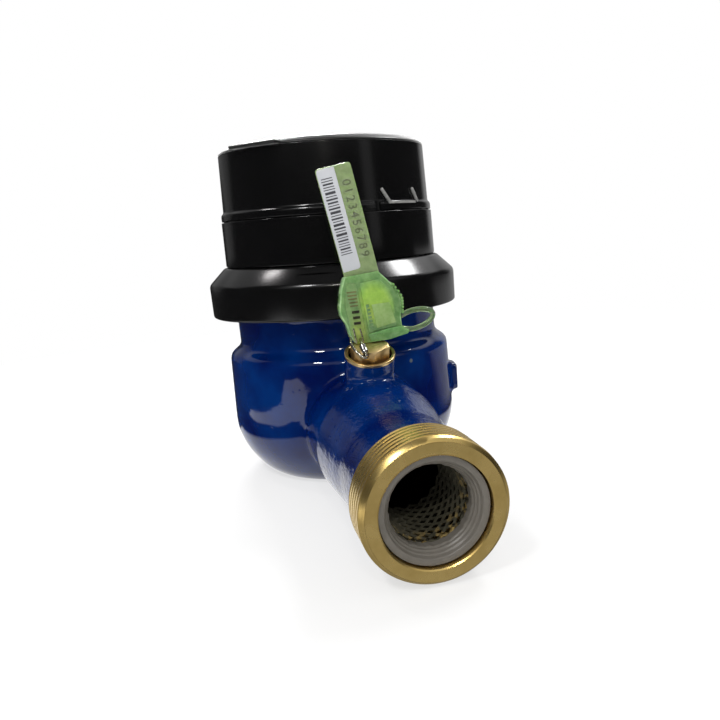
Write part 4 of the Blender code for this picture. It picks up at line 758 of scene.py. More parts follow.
def make_plug():
    """Hexagon with a turned chamfer, its stem and the wire hole."""
    hexagon = finished("plug_hexagon", rod(PLUG_HEAD_R, -0.0070, PLUG_TOP, 6))
    cut(hexagon, turned(PLUG_PROFILE, 60), "INTERSECT")
    cut(hexagon, rod(PLUG_STEM_R, PLUG_FOOT, -0.0060, 40), "UNION")
    bevel = hexagon.modifiers.new("edges", "BEVEL")
    bevel.width = 0.00018
    bevel.segments = 2
    bevel.limit_method = "ANGLE"
    cut(hexagon, moved(box_between(*UNDER_SEAL), BOSS_FROM_WORLD))
    cut(hexagon, moved(rod(PLUG_DRILL_R, -0.013, 0.003, 20), BOSS_FROM_WORLD @ PLUG_DRILL))
    look = bare_brass("plug_brass", 0.42, (0.82, 0.61, 0.31), (0.55, 0.375, 0.155))
    made = finished("plug", carved(hexagon), (look,), 30.0)
    made.data.transform(BOSS_PLACE)
    return made


def rubber(name):
    """Dull black rubber."""
    return mottled(name, 0.6, (0.008, 0.008, 0.008), (0.020, 0.020, 0.020), (700.0, 2.0))


dress(make_plug(), "regulating_plug", "meter")
plug_seal = finished("plug_seal_ring", moved(turned(PLUG_RING, 48), BOSS_PLACE), (rubber("plug_rubber"),))
dress(plug_seal, "plug_o_ring", "meter")


# Ring nut: thick moulded black ring that screws onto the casting's collar and clamps
# the register. Rounded wall below, a wide chamfer above with one shallow pocket in it.
RING_WALL_TOP = (0.0499, 0.0779)
RING_LIP_EDGE = (0.0431, 0.0844)
RING_OUTLINE = (
    (0.04484, 0.0654), (0.0499, 0.0654, 0.0010), (*RING_WALL_TOP, 0.0012), (*RING_LIP_EDGE, 0.0012),
    (0.0391, 0.0844, 0.0003), (0.0391, 0.0792), (0.04484, 0.0792),
)
POCKET_SIZE = (0.0011, 0.0148, 0.0022)
POCKET_PLACE = about("Z", -17.0) @ at(0.04655, 0.0, 0.0812)


def black_plastic(name, roughness, constants=()):
    """Black moulded plastic with a satin skin."""
    colours = ((0.0016, 0.0016, 0.0019), (0.0034, 0.0034, 0.0036))
    grain = ((1500.0, 2.0), 0.00003, 0.2)
    swing = (roughness - 0.03, 0.06)
    return mottled(name, roughness, *colours, (90.0, 3.0), grain, swing, constants=constants)


def make_ring_nut():
    """Ring with rounded edges and the pocket in its chamfer."""
    nut = finished("ring_solid", turned(RING_OUTLINE, 144))
    pocket = bmesh.new()
    bmesh.ops.create_cube(pocket, size=1.0)
    pocket.transform(Matrix.Diagonal((*POCKET_SIZE, 1.0)))
    ends = [edge for edge in pocket.edges if abs((edge.verts[0].co - edge.verts[1].co).x) > 0.0005]
    bevelled(pocket, ends, 0.0007)
    slope = math.atan2(RING_LIP_EDGE[1] - RING_WALL_TOP[1], RING_WALL_TOP[0] - RING_LIP_EDGE[0])
    cut(nut, moved(pocket, POCKET_PLACE @ about("Y", math.degrees(slope) - 90.0)))
    return finished("clamp_ring", carved(nut), (black_plastic("ring_plastic", 0.20),))


dress(make_ring_nut(), "ring_nut", "meter")


# Shroud: plain moulded black cylinder around the register, turning with the head. It is
# pushed down over the can, and a stepped rim at its top takes the lid ring.
SHROUD_OUTLINE = (
    (0.0392, 0.0848), (0.04243, 0.0848, 0.0003), (0.04203, 0.10145, 0.0003), (0.0414, 0.10145, 0.0001),
    (0.0412, 0.1016), (0.0401, 0.1016), (0.0401, 0.1036), (0.0392, 0.1036),
)

head_plastic = black_plastic("head_plastic", 0.15)
head_shroud = finished("head_shroud", turned(SHROUD_OUTLINE, 128), (head_plastic,))
dress(head_shroud, "shroud", "head")


# Lid ring: black cylinder above the parting, with a bead at its foot, two leaning catch
# ramps with a ledge between them, a notch in the bead and two hinge knuckles at the back.
LID_RING_OUTLINE = (
    (0.0405, 0.10185), (0.04186, 0.10185, 0.0003), (0.04186, 0.1042, 0.0008), (0.04092, 0.1050, 0.0006),
    (0.04010, 0.12575, 0.0001), (0.03874, 0.12575), (0.03874, 0.1141), (0.03524, 0.1141, 0.0003),
    (0.03524, 0.1128), (0.03874, 0.1128), (0.03874, 0.1041), (0.0405, 0.1041),
)
LEDGE_SECTION = ((0.0402, 0.1039), (0.04222, 0.1039), (0.04222, 0.1047), (0.0402, 0.1049))
LEDGE_BEARINGS = (23.0, 42.6)
LEDGE_STEPS = 12
RAMP_BEARINGS = (21.8, 43.8)
RAMP_PLACE = at(0.0413, 0.0, 0.1068) @ about("X", 36.0)
RAMP_R = 0.0006
RAMP_HALF = 0.0030
NOTCH = ((0.0410, -0.0011, 0.1014), (0.0432, 0.0011, 0.1056))
NOTCH_BEARING = 16.5
HINGE_TURN = about("Z", 135.0)
HINGE_X = 0.0425
HINGE_Z = 0.12595
KNUCKLE_R = 0.0021
KNUCKLE_Y = 0.0069


def join_into(bm, *others):
    """Add other shapes to a shape."""
    for other in others:
        data = bpy.data.meshes.new("join")
        other.to_mesh(data)
        other.free()
        bm.from_mesh(data)
        bpy.data.meshes.remove(data)
    return bm


def coloured(bm, index):
    """The same shape with one of its piece's materials."""
    for face in bm.faces:
        face.material_index = index
    return bm


def barrel(centre, length, radius):
    """A hinge barrel lying along Y, out from the centre along X."""
    bm = bmesh.new()
    sizes = {"radius1": radius, "radius2": radius, "depth": length, "segments": 24}
    bmesh.ops.create_cone(bm, cap_ends=True, **sizes)
    return moved(bm, at(HINGE_X, centre, HINGE_Z) @ about("X", 90.0))


def rubbed_plastic(name, lightness):
    """Black plastic coloured pale: a painted highlight."""
    pale = (lightness * 0.60, lightness * 0.60, lightness * 0.58)
    return mottled(name, 0.22, (0.10, 0.10, 0.10), pale, (900.0, 3.0))


def make_lid_ring():
    """The ring as overlapping closed solids, with the notch cut."""
    ring = finished("lid_ring_solid", turned(LID_RING_OUTLINE, 128))
    cut(ring, moved(box_between(*NOTCH, 0.0002), about("Z", NOTCH_BEARING)))
    bm = carved(ring)
    for bearing in RAMP_BEARINGS:
        ramp = rod(RAMP_R, -RAMP_HALF, RAMP_HALF, reach=RAMP_R)
        join_into(bm, coloured(moved(ramp, about("Z", bearing) @ RAMP_PLACE), 1))
    first, last = LEDGE_BEARINGS
    loops = []
    for step in range(LEDGE_STEPS + 1):
        bearing = math.radians(first + (last - first) * step / LEDGE_STEPS)
        loops.append([(r * math.cos(bearing), r * math.sin(bearing), z) for r, z in LEDGE_SECTION])
    ledge = bmesh.new()
    skin(ledge, loops)
    join_into(bm, coloured(ledge, 1))
    for side in (-KNUCKLE_Y, KNUCKLE_Y):
        arm = box_between((0.0390, side - 0.0021, 0.1218), (0.0425, side + 0.0021, 0.1254), 0.0003)
        join_into(bm, moved(barrel(side, 0.0042, KNUCKLE_R), HINGE_TURN), moved(arm, HINGE_TURN))
    # The ramps and the ledge take the second material, pale colour that stands in for their highlights:
    # painted highlight.
    return finished("lid_cylinder", bm, (head_plastic, rubbed_plastic("ribs_painted_highlight", 0.6)))


dress(make_lid_ring(), "lid_ring", "head")


# Register: a clear sealed can under a flat glass, with a white dial, five number drums in
# its window, four red sweep hands on scales of ten, and a red star that shows a trickle.
HEAD_TURN = about("Z", -45.0)
READ_TURN = about("Z", 90.0)
CAN_OUTLINE = (
    (0, 0.0756), (0.0437, 0.0756, 0.0003), (0.0437, 0.0772, 0.0003), (0.03844, 0.0772),
    (0.03844, 0.1070, 0.0003), (0.03664, 0.1070, 0.0003), (0.03664, 0.0772), (0, 0.0772),
)
GASKET_OUTLINE = (
    (0.0365, 0.1073, 0.0004), (0.0384, 0.1073, 0.0004), (0.0384, 0.1086, 0.0004), (0.0365, 0.1086, 0.0004),
)
GLASS_OUTLINE = ((0, 0.1089), (0.0384, 0.1089, 0.0004), (0.0384, 0.1124, 0.0004), (0, 0.1124))
DIAL_R = 0.0363
DIAL_TOP = 0.1008
DIAL_LOW = 0.0998
DRUM_X = -0.0152
DRUM_Z = 0.0951
DRUM_R = 0.0060
DRUM_PITCH = 0.0060
DRUM_HOLE_R = 0.0013
DRUM_GAP = 0.0003
DIGIT_HEIGHT = 0.0042
DIGIT_SLICE = 0.00028
WINDOW_HALF = (0.0043, 0.0153)
WINDOW_LINE = 0.00015
WINDOW_MARGIN = 0.0008
HAND_Z = 0.1014
HAND_T = 0.0007
HAND_REACH = 0.00775
HAND_TIP_HALF = 0.0002
HAND_BOSS_R = 0.0020
HAND_AXES = [about("Z", bearing) @ Vector((0.02442, 0, 0)) for bearing in (-60.0, -20.0, 20.0, 60.0)]
CAP_OUTLINE = ((0, 0.0003), (0.0012, 0.0003), (0.0012, 0.0012, 0.0004), (0, 0.0012))
ARBOR_HOLE_R = 0.0013
STAR_AXIS = (-0.00050, -0.01439)
STAR_R = 0.0042
SCALE_R = 0.0052
SCALE_LINE = 0.00015
TICK_LENGTH = 0.0009
TICK_HALF = 0.00012
NUMBER_REACH = SCALE_R + 0.0019
NUMBER_HEIGHT = 0.0018
INK_T = 0.00004


def clear(name, colour, roughness, smear=0.03):
    """A clear material with faint smears in its polish."""
    dim = tuple(0.96 * share for share in colour)
    constants = {"Transmission Weight": 1.0, "IOR": 1.47}
    return mottled(name, roughness, colour, dim, (60.0, 3.0), swing=(roughness, smear), constants=constants)


def plain_plastic(name, light, dark, roughness=0.35):
    """Opaque moulded plastic with faint flow clouds and a fine grain."""
    return mottled(name, roughness, light, dark, (140.0, 3.0), ((1200.0, 2.0), 0.00002, 0.3))


dial_white = plain_plastic("dial_white", (0.80, 0.80, 0.78), (0.74, 0.74, 0.72), 0.3)
dial_ink = plain_plastic("dial_ink", (0.012, 0.012, 0.014), (0.022, 0.022, 0.024), 0.4)
hand_red = plain_plastic("hand_red", (0.60, 0.018, 0.014), (0.50, 0.012, 0.010), 0.3)
register_rubber = rubber("register_rubber")


def raised(outline, low, high, edge):
    """A solid between two heights on a flat outline, with rounded rims."""
    bm = bmesh.new()
    face = bm.faces.new([bm.verts.new((point[0], point[1], low)) for point in outline])
    grown = bmesh.ops.extrude_face_region(bm, geom=[face])
    top = [item for item in grown["geom"] if isinstance(item, bmesh.types.BMVert)]
    bmesh.ops.translate(bm, vec=(0.0, 0.0, high - low), verts=top)
    bmesh.ops.recalc_face_normals(bm, faces=bm.faces[:])
    if edge:
        bevelled(bm, [item for item in bm.edges if abs(item.calc_face_angle(0.0)) > 1.0], edge, 2)
    return bm


def written(text, height, thickness=0.00004, spacing=1.0):
    """Plain characters as thin solids, centred, in the X-Y plane."""
    curve = bpy.data.curves.new("written", "FONT")
    curve.body = text
    curve.size = height
    curve.extrude = thickness
    curve.space_character = spacing
    curve.resolution_u = 3
    curve.align_x = "CENTER"
    curve.align_y = "CENTER"
    made = linked("written", curve)
    bpy.context.view_layer.update()
    return carved(made)


def inked(bm, *shapes):
    """Add printed shapes, which take the second material."""
    join_into(bm, *(coloured(shape, 1) for shape in shapes))


def polar(reach, share):
    """A flat point at a reach and a share of a full turn."""
    return reach * math.cos(math.tau * share), reach * math.sin(math.tau * share)


def print_scale(bm, axis):
    """Ring, ten ticks and ten numbers, clockwise from where the hand rests."""
    centre = at(*axis[:2], DIAL_TOP)
    line_r = SCALE_R + SCALE_LINE
    inked(bm, moved(turned([(SCALE_R, 0), (line_r, 0), (line_r, INK_T), (SCALE_R, INK_T)], 60), centre))
    for number in range(10):
        tick = box_between((SCALE_R, -TICK_HALF, 0.0), (SCALE_R + TICK_LENGTH, TICK_HALF, INK_T))
        inked(bm, moved(tick, centre @ about("Z", -36.0 * number)))
        place = at(*polar(NUMBER_REACH, -number / 10), 0.0)
        inked(bm, moved(written(str(number), NUMBER_HEIGHT, INK_T), centre @ place @ READ_TURN))


def make_dial():
    """White dial with the drums' window, arbor holes, a frame line and the scales."""
    disc = ((0, DIAL_LOW), (DIAL_R, DIAL_LOW, 0.0001), (DIAL_R, DIAL_TOP, 0.0002), (0, DIAL_TOP))
    dial = finished("dial_disc", turned(disc, 96, 3))
    low = DIAL_LOW - 0.001
    high = DIAL_TOP + 0.001
    half_x, half_y = WINDOW_HALF
    cut(dial, box_between((DRUM_X - half_x, -half_y, low), (DRUM_X + half_x, half_y, high)))
    for axis in (*HAND_AXES, STAR_AXIS):
        cut(dial, moved(rod(ARBOR_HOLE_R, low, high), at(axis[0], axis[1], 0)))
    bm = carved(dial)
    for axis in HAND_AXES:
        print_scale(bm, axis)
    reach_x = half_x + WINDOW_MARGIN
    reach_y = half_y + WINDOW_MARGIN
    line = WINDOW_LINE
    top = DIAL_TOP + INK_T
    for side in (-1, 1):
        x = DRUM_X + side * reach_x
        y = side * reach_y
        inked(bm, box_between((x - line, -reach_y, DIAL_TOP), (x + line, reach_y, top)))
        inked(bm, box_between((DRUM_X - reach_x, y - line, DIAL_TOP), (DRUM_X + reach_x, y + line, top)))
    return finished("dial", moved(bm, HEAD_TURN), (dial_white, dial_ink), 30.0)


def make_drum(number):
    """A drum with rounded rims and ten printed digits wrapped around it."""
    half = (DRUM_PITCH - DRUM_GAP) / 2
    rims = ((DRUM_R, -half, 0.0002), (DRUM_R, half, 0.0002))
    corners = ((DRUM_HOLE_R, -half), *rims, (DRUM_HOLE_R, half))
    bm = moved(turned(corners, 60, 3), about("X", -90.0))
    for digit in range(10):
        figure = written(str(digit), DIGIT_HEIGHT, INK_T)
        for step in range(-6, 7):
            everything = figure.verts[:] + figure.edges[:] + figure.faces[:]
            plane = {"plane_co": (0, step * DIGIT_SLICE, 0), "plane_no": (0, 1, 0)}
            bmesh.ops.bisect_plane(figure, geom=everything, **plane)
        for vert in figure.verts:
            turn = math.tau * digit / 10 - vert.co.y / DRUM_R
            reach = DRUM_R + vert.co.z
            vert.co = (reach * math.sin(turn), vert.co.x, reach * math.cos(turn))
        inked(bm, figure)
    place = HEAD_TURN @ at(DRUM_X, (3 - number) * DRUM_PITCH, DRUM_Z)
    return finished(f"number_drum_{number}", moved(bm, place), (dial_white, dial_ink), 30.0)


def make_pointer(name, outline, axis):
    """A flat red pointer with a round cap, pressed on its arbor."""
    bm = raised(outline, HAND_Z, HAND_Z + HAND_T, 0.0001)
    join_into(bm, moved(turned(CAP_OUTLINE, 24), at(0.0, 0.0, HAND_Z)))
    return finished(name, moved(bm, HEAD_TURN @ at(axis[0], axis[1], 0.0)), (hand_red,), 30.0)


hand_boss = [polar(HAND_BOSS_R, step / 24) for step in range(2, 23)]
hand_outline = [(HAND_REACH, -HAND_TIP_HALF), (HAND_REACH, HAND_TIP_HALF), *hand_boss]
star_outline = [polar(STAR_R * (0.55 if corner % 2 else 1.0), corner / 12) for corner in range(12)]
can_clear = clear("can_clear", (0.90, 0.93, 0.93), 0.05)
flat_glass = clear("flat_glass", (0.96, 0.98, 0.97), 0.0, 0.012)
for name, outline, look, node, slot in (
    ("clear_can", CAN_OUTLINE, can_clear, "register_can", "clear_plastic"),
    ("gasket", GASKET_OUTLINE, register_rubber, "glass_gasket", "rubber"),
    ("flat_glass", GLASS_OUTLINE, flat_glass, "register_glass", "glass"),
):
    dress(finished(name, turned(outline, 96), (look,)), node, "head")
dress(make_dial(), "dial_plate", "head")
dress(make_pointer("trickle_star", star_outline, STAR_AXIS), "star_indicator", "star")
for number in range(1, 6):
    dress(make_drum(number), f"drum_{number}", f"wheel_{number}")
for number, axis in enumerate(HAND_AXES, start=1):
    hand = make_pointer(f"hand_{number}", hand_outline, axis)
    dress(hand, f"pointer_{number}", f"hand_{number}")


# Hidden works: the moulded measuring chamber and impeller, the gears and plates of the
# register, magnets, pins, rings and the brass pressure plate keep their own shapes.
# Only the steel rod of the lid's hinge, which shows between the knuckles, is made anew.
HINGE_ROD_R = 0.0009
HINGE_ROD_HALF = 0.0092


def steel(name, roughness, colour=(0.62, 0.61, 0.60)):
    """Bright steel with faint drawing marks."""
    dark = tuple(0.6 * share for share in colour)
    return mottled(name, roughness, colour, dark, (800.0, 3.0), metallic=1.0)


def ferrite(name):
    """Dark sintered magnet with a dull, grainy skin."""
    grit = (1600.0, 4.0, 0.7)
    return mottled(name, 0.55, (0.030, 0.030, 0.033), (0.085, 0.085, 0.090), grit, (grit, 0.00004, 0.6))


works_steel = steel("works_steel", 0.3)
INNER_LOOKS = (
    (
        plain_plastic("chamber_ivory", (0.72, 0.69, 0.60), (0.64, 0.60, 0.50)),
        ("measuring_chamber", "chamber_cover", "friction_ring"),
    ),
    (
        plain_plastic("wheel_white", (0.78, 0.78, 0.76), (0.70, 0.70, 0.68)),
        (
            "impeller", "movement_plate", "reduction_box", "follower_spindle", "star_arbor",
            "pointer_arbor_1", "pointer_arbor_2", "pointer_arbor_3", "pointer_arbor_4",
        ),
    ),
    (works_steel, ("impeller_pivot", "drum_shaft")),
    (ferrite("ferrite"), ("drive_magnet", "follower_magnet")),
    (register_rubber, ("body_o_ring",)),
    (bare_brass("plate_brass", 0.3), ("pressure_plate",)),
)
for look, names in INNER_LOOKS:
    for name in names:
        for material_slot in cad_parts[name].material_slots:
            material_slot.material = look

hinge_place = HINGE_TURN @ at(HINGE_X, 0.0, HINGE_Z) @ about("X", 90.0)
hinge_rod = moved(rod(HINGE_ROD_R, -HINGE_ROD_HALF, HINGE_ROD_HALF, reach=0.0003), hinge_place)
dress(finished("hinge_rod", hinge_rod, (works_steel,)), "hinge_pin", "head")


# Lid: moulded black disc with a shallow crown that reaches a rounded edge, a thumb lip at
# the front whose top is coloured pale as a painted highlight, and one knuckle behind that turns on the hinge
# rod.
LID_OUTLINE = (
    (0, 0.1247), (0.0381, 0.1247, 0.0002), (0.0381, 0.1258), (0.04009, 0.1258, 0.0001),
    (0.04009, 0.1265, 0.0008), (0.0368, 0.12845, 0.0024), (0, 0.12845),
)
LIP = ((0.0360, -0.0108, 0.1259), (0.0416, 0.0108, 0.1273))
LID_ARM = ((0.0385, -0.0045, 0.1262), (0.0425, 0.0045, 0.1277))


def make_lid():
    """The disc, lip and hinge knuckle."""
    bm = turned(LID_OUTLINE, 128, 6)
    lip = moved(box_between(*LIP, 0.0007), HEAD_TURN)
    # The lip's upward faces take the pale second material: a painted highlight.
    for face in lip.faces:
        face.material_index = int(face.normal.z > 0.3)
    arm = box_between(*LID_ARM, 0.0003)
    join_into(bm, lip, moved(barrel(0.0, 0.0090, KNUCKLE_R), HINGE_TURN), moved(arm, HINGE_TURN))
    look = black_plastic("lid_plastic", 0.34, {"Sheen Weight": 0.8, "Sheen Roughness": 0.35})
    return finished("hinged_lid", bm, (look, rubbed_plastic("lip_painted_highlight", 0.9)))


dress(make_lid(), "lid", "lid")


# Seal: translucent green moulding that stands on the plug, with a raised block inside
# it, a knurled right edge, a ledge at its foot and a long flag with a barred label.
# Outline corners are (across, up, reach) in millimetres.
SEAL_X = 0.0580
SEAL_Z = 0.0577
SEAL_TOP = 0.0816
MM = 0.001
STAND = at(SEAL_X, 0.0, SEAL_Z) @ Matrix(((0, 0, 1, 0), (1, 0, 0, 0), (0, 1, 0, 0), (0, 0, 0, 1)))
SEAL_BODY = (
    (-6.4, 22.9, 1.0), (5.3, 24.0, 0.5), (9.4, 19.8, 1.5), (11.7, 16.7, 1.2), (12.6, 14.0, 1.2),
    (12.6, 10.8, 1.0), (12.1, 8.7, 0.8), (12.4, 4.7, 0.4), (15.0, 3.0, 0.3), (14.5, 2.0, 0.4),
    (7.4, 0.6, 0.8), (1.3, 0.1, 0.5), (-4.3, 0.0, 0.8), (-6.2, 3.0, 1.0), (-6.9, 6.7, 1.2),
    (-8.6, 9.5, 1.2), (-9.1, 12.2, 1.2), (-8.6, 14.5, 1.0), (-8.1, 18.0, 1.5),
)
SEAL_CORE = (
    (-1.6, 20.6, 0.6), (1.5, 20.9, 0.6), (5.0, 21.5, 0.8), (8.5, 18.6, 1.2), (9.3, 15.0, 1.0),
    (10.6, 6.6, 0.6), (9.9, 5.0, 0.4), (2.8, 4.2, 0.4), (0.4, 3.4, 0.5), (-0.6, 12.0, 1.5),
)
SEAL_WINDOW = (
    (-6.0, 20.9, 0.8), (-2.6, 20.6, 0.5), (-1.6, 12.0, 1.5), (-0.6, 3.2, 0.5), (-0.9, 1.0, 0.5),
    (-4.8, 1.0, 0.6), (-6.1, 4.4, 1.0), (-6.4, 8.0, 1.0), (-7.2, 13.6, 1.2),
)
SEAL_PLATE = ((1.9, 13.1, 0.3), (8.2, 13.4, 0.3), (10.0, 6.4, 0.4), (3.2, 5.0, 0.3))
SEAL_STRIP = ((-0.1, 13.2, 0.2), (1.0, 13.4, 0.2), (2.2, 5.1, 0.2), (1.0, 4.7, 0.2))
SEAL_LEDGE = (
    (0.0, 3.2, 0.3), (7.4, 4.6, 0.4), (11.9, 5.0, 0.3), (14.7, 3.2, 0.3), (14.2, 2.1, 0.4), (7.4, 0.7, 0.6),
    (1.0, 0.3, 0.4),
)
# Layers on the body: outline, low, high, edge and material.
SEAL_LAYERS = (
    (SEAL_CORE, 1.2, 2.5, 0.35, 1),
    (SEAL_WINDOW, 1.2, 2.25, 0.35, 2),
    (SEAL_PLATE, 2.2, 2.8, 0.12, 3),
    (SEAL_LEDGE, 1.0, 2.8, 0.3, 4),
    (SEAL_STRIP, 2.2, 2.62, 0.08, 4),
)
SEAL_KNURLS = ((9.9, 19.1), (12.3, 15.4), (12.7, 12.4), (12.4, 9.6))
KNURL_SIZES = {"radius1": 0.00070, "radius2": 0.00045, "depth": 0.0052, "segments": 12}
# Plain dark bars in the window: left end, right end and foot.
DARK_BARS = ((-4.6, -2.2, 6.8), (-4.8, -2.3, 8.7), (-5.0, -2.4, 10.6))
SLAT_EDGE = 0.1
# The seal's bevelled edges take a lighter green: a painted highlight along its rims.
PAINTED_RIM_LOOK = 6
GREEN_SOCKETS = {
    "Transmission Weight": 0.0, "IOR": 1.46, "Subsurface Weight": 0.7, "Subsurface Radius": (0.7, 1.0, 0.4),
    "Subsurface Scale": 0.0016,
}
GREEN_CLOUD = (420.0, 4.0, 0.6)
GREEN_RAMP = ((0.34, 0.0), (0.66, 1.0))
GREEN_GRAIN = ((900.0, 2.0), 0.00007, 0.6)


def moulded(corners, low, high, edge, look=0):
    """A flat moulding that stands across the pipe, all sizes in millimetres."""
    outline = rounded([(across * MM, up * MM, reach * MM) for across, up, reach in corners], 3)
    return coloured(moved(raised(outline, low * MM, high * MM, edge * MM), STAND), look)


def green_plastic(name, light, dark, transmission=0.0, roughness=0.13):
    """Translucent green plastic that scatters light inside, with flow clouds."""
    constants = {**GREEN_SOCKETS, "Transmission Weight": transmission}
    extras = {"ramp": GREEN_RAMP, "constants": constants}
    return mottled(name, roughness, dark, light, GREEN_CLOUD, GREEN_GRAIN, **extras)


def seal_green(name, shade):
    """The seal's green: darker borders, a bright core and a yellow foot, soft into each other."""
    look, shader, start = new_look(name, 0.13, 0.0, GREEN_SOCKETS)
    across, up = (side * 1000.0 for side in start.node("TexCoord", result="Object").split()[1:])
    cloud = object_noise(start, *GREEN_CLOUD).ramp(*GREEN_RAMP)
    border = mix(start, cloud, (0.125, 0.25, 0.09), (0.21, 0.36, 0.145))
    core = mix(start, cloud, (0.25, 0.42, 0.08), (0.35, 0.54, 0.105))
    foot = mix(start, cloud, (0.24, 0.34, 0.05), (0.42, 0.50, 0.09))
    core_across = (across - 3.6 + (up - 70.5) * 0.12) / 6.2
    core_up = (up - 71.0) / 7.6
    far = (core_across * core_across + core_up * core_up).math("SQRT")
    colour = mix(start, 1.0 - far.above(0.88, 0.22), border, core)
    on_foot = (1.0 - up.above(66.5, 3.0)) * across.between(-5.2, -0.6, 1.2)
    colour = mix(start, on_foot * 0.8, colour, foot)
    feed(shader, "Base Color", mix(start, shade, colour, (0.20, 0.26, 0.12)))
    feed(shader, "Normal", bump(start, object_noise(start, *GREEN_GRAIN[0]), *GREEN_GRAIN[1:]))
    return look


def slat(left, right, low, rise, height, lean=0.0):
    """Corners of a thin raised bar that climbs to the right by a rise."""
    top = low + height
    corners = ((left, low), (right, low + rise), (right - lean, top + rise), (left - lean, top))
    return [(*corner, SLAT_EDGE) for corner in corners]


def smooth_route(knots, steps):
    """Points along a smooth curve through the knots."""
    knots = [Vector(knot) for knot in knots]
    padded = [knots[0], *knots, knots[-1]]
    route = []
    for before, start, end, after in zip(padded, padded[1:], padded[2:], padded[3:]):
        lead = start + (end - before) / 6
        trail = end - (after - start) / 6
        route += interpolate_bezier(start, lead, trail, end, steps + 1)[:-1]
    return [*route, knots[-1]]


def make_seal():
    """Body, layers and knurls, with plain bars and ribs in the window."""
    bm = moulded(SEAL_BODY, -2.8, 1.8, 0.4)
    for face in bm.faces:
        # Bevel faces get the lighter rim green, a painted highlight.
        face.material_index = PAINTED_RIM_LOOK if 0.25 < abs(face.normal.x) < 0.98 else 0
    for layer in SEAL_LAYERS:
        join_into(bm, moulded(*layer))
    for left, right, low in DARK_BARS:
        join_into(bm, moulded(slat(left, right, low, 0.1, 0.9), 2.0, 2.42, 0.05, 5))
    for step in range(6):
        low = 5.5 + 1.25 * step
        ridge = slat(0.9 - low * 0.04, 2.5 - low * 0.06, low, 0.2, 0.45)
        join_into(bm, moulded(ridge, 2.4, 2.74, 0.05, 1))
    for step in range(5):
        low = 12.9 + 1.15 * step
        rib = slat(-5.4 - 0.18 * step, -2.6 - 0.054 * step, low, 0.1, 0.5, 0.1)
        join_into(bm, moulded(rib, 2.0, 2.36, 0.05, 7))
    for point in smooth_route([(*knot, 0.0) for knot in SEAL_KNURLS], 3):
        knurl = bmesh.new()
        place = at(SEAL_X - 0.0001, (point.x + 0.15) * MM, SEAL_Z + point.y * MM) @ about("Y", 90.0)
        bmesh.ops.create_cone(knurl, cap_ends=True, matrix=place, **KNURL_SIZES)
        join_into(bm, knurl)
    looks = (
        seal_green("seal_border", 0.0),
        seal_green("seal_core", 0.0),
        seal_green("seal_window", 0.25),
        green_plastic("seal_plate", (0.31, 0.46, 0.18), (0.23, 0.37, 0.12)),
        green_plastic("seal_ledge", (0.19, 0.36, 0.14), (0.11, 0.25, 0.085)),
        green_plastic("seal_bars", (0.045, 0.05, 0.022), (0.022, 0.024, 0.012), roughness=0.3),
        green_plastic("seal_rim_painted_highlight", (0.40, 0.58, 0.31), (0.17, 0.34, 0.13), roughness=0.1),
        green_plastic("seal_ribs", (0.19, 0.21, 0.075), (0.11, 0.12, 0.05), roughness=0.25),
    )
    return finished("seal_moulding", bm, looks, 30.0)


dress(make_seal(), "seal_body", "meter")


# Flag and label: the seal's long flat tag leans to the left. A white paper label with
# plain dark bars covers its left half, and a plain row of digits is printed on the right.
# Corners and bars are in millimetres.
FLAG_HALF = 5.95
FLAG_LENGTH = 36.1
FLAG_PLACE = at(SEAL_X, 0.0, SEAL_TOP - 0.0012) @ about("X", 10.6)
FLAG_FROM_STAND = FLAG_PLACE @ at(-SEAL_X, 0.0, -SEAL_Z)
FLAG_OUTLINE = (
    (-FLAG_HALF, -1, 0), (FLAG_HALF, -1, 0), (FLAG_HALF, FLAG_LENGTH, 1.1), (-FLAG_HALF, FLAG_LENGTH, 1.1),
)
PRINT_PLACE = at(0.0006, 0.0029, 0.0185)
PRINT_HEIGHT = 0.0041
PRINT_SPACING = 1.26
LABEL_OUTLINE = ((-5.85, 2.7, 0.3), (0.35, 2.7, 1.2), (0.3, 35.8, 0.3), (-5.85, 35.8, 1.1))
BAR_WIDTHS = (1, 1, 2, 1, 1, 2, 1, 3, 1, 2, 3, 1, 2, 1, 3, 2, 1, 2, 2, 1, 3, 1, 1, 2, 1, 1)
BAR_STEP = 0.27
BAR_GAP = 0.53
BAR_MIDDLE = -3.05
BAR_HALF = 1.95
BAR_SHORTER = 0.10
FIRST_BAR = 8.2


def tag(corners, low, high, edge, look=0):
    """A thin rounded sheet in the flag's own upright plane."""
    return moved(moulded(corners, low, high, edge, look), FLAG_FROM_STAND)


def make_flag():
    """The flag, with a faint row of digits along its right half."""
    bm = tag(FLAG_OUTLINE, -0.6, 0.6, 0.25)
    upward = Matrix(((0, 0, 1, 0), (0, 1, 0, 0), (-1, 0, 0, 0), (0, 0, 0, 1)))
    row = written("0123456789", PRINT_HEIGHT, spacing=PRINT_SPACING)
    inked(bm, moved(row, FLAG_PLACE @ PRINT_PLACE @ upward))
    looks = (
        green_plastic("flag_green", (0.27, 0.35, 0.17), (0.22, 0.29, 0.14), roughness=0.2),
        green_plastic("flag_print", (0.17, 0.23, 0.10), (0.13, 0.18, 0.07), roughness=0.3),
    )
    return finished("seal_flag", bm, looks, 30.0)


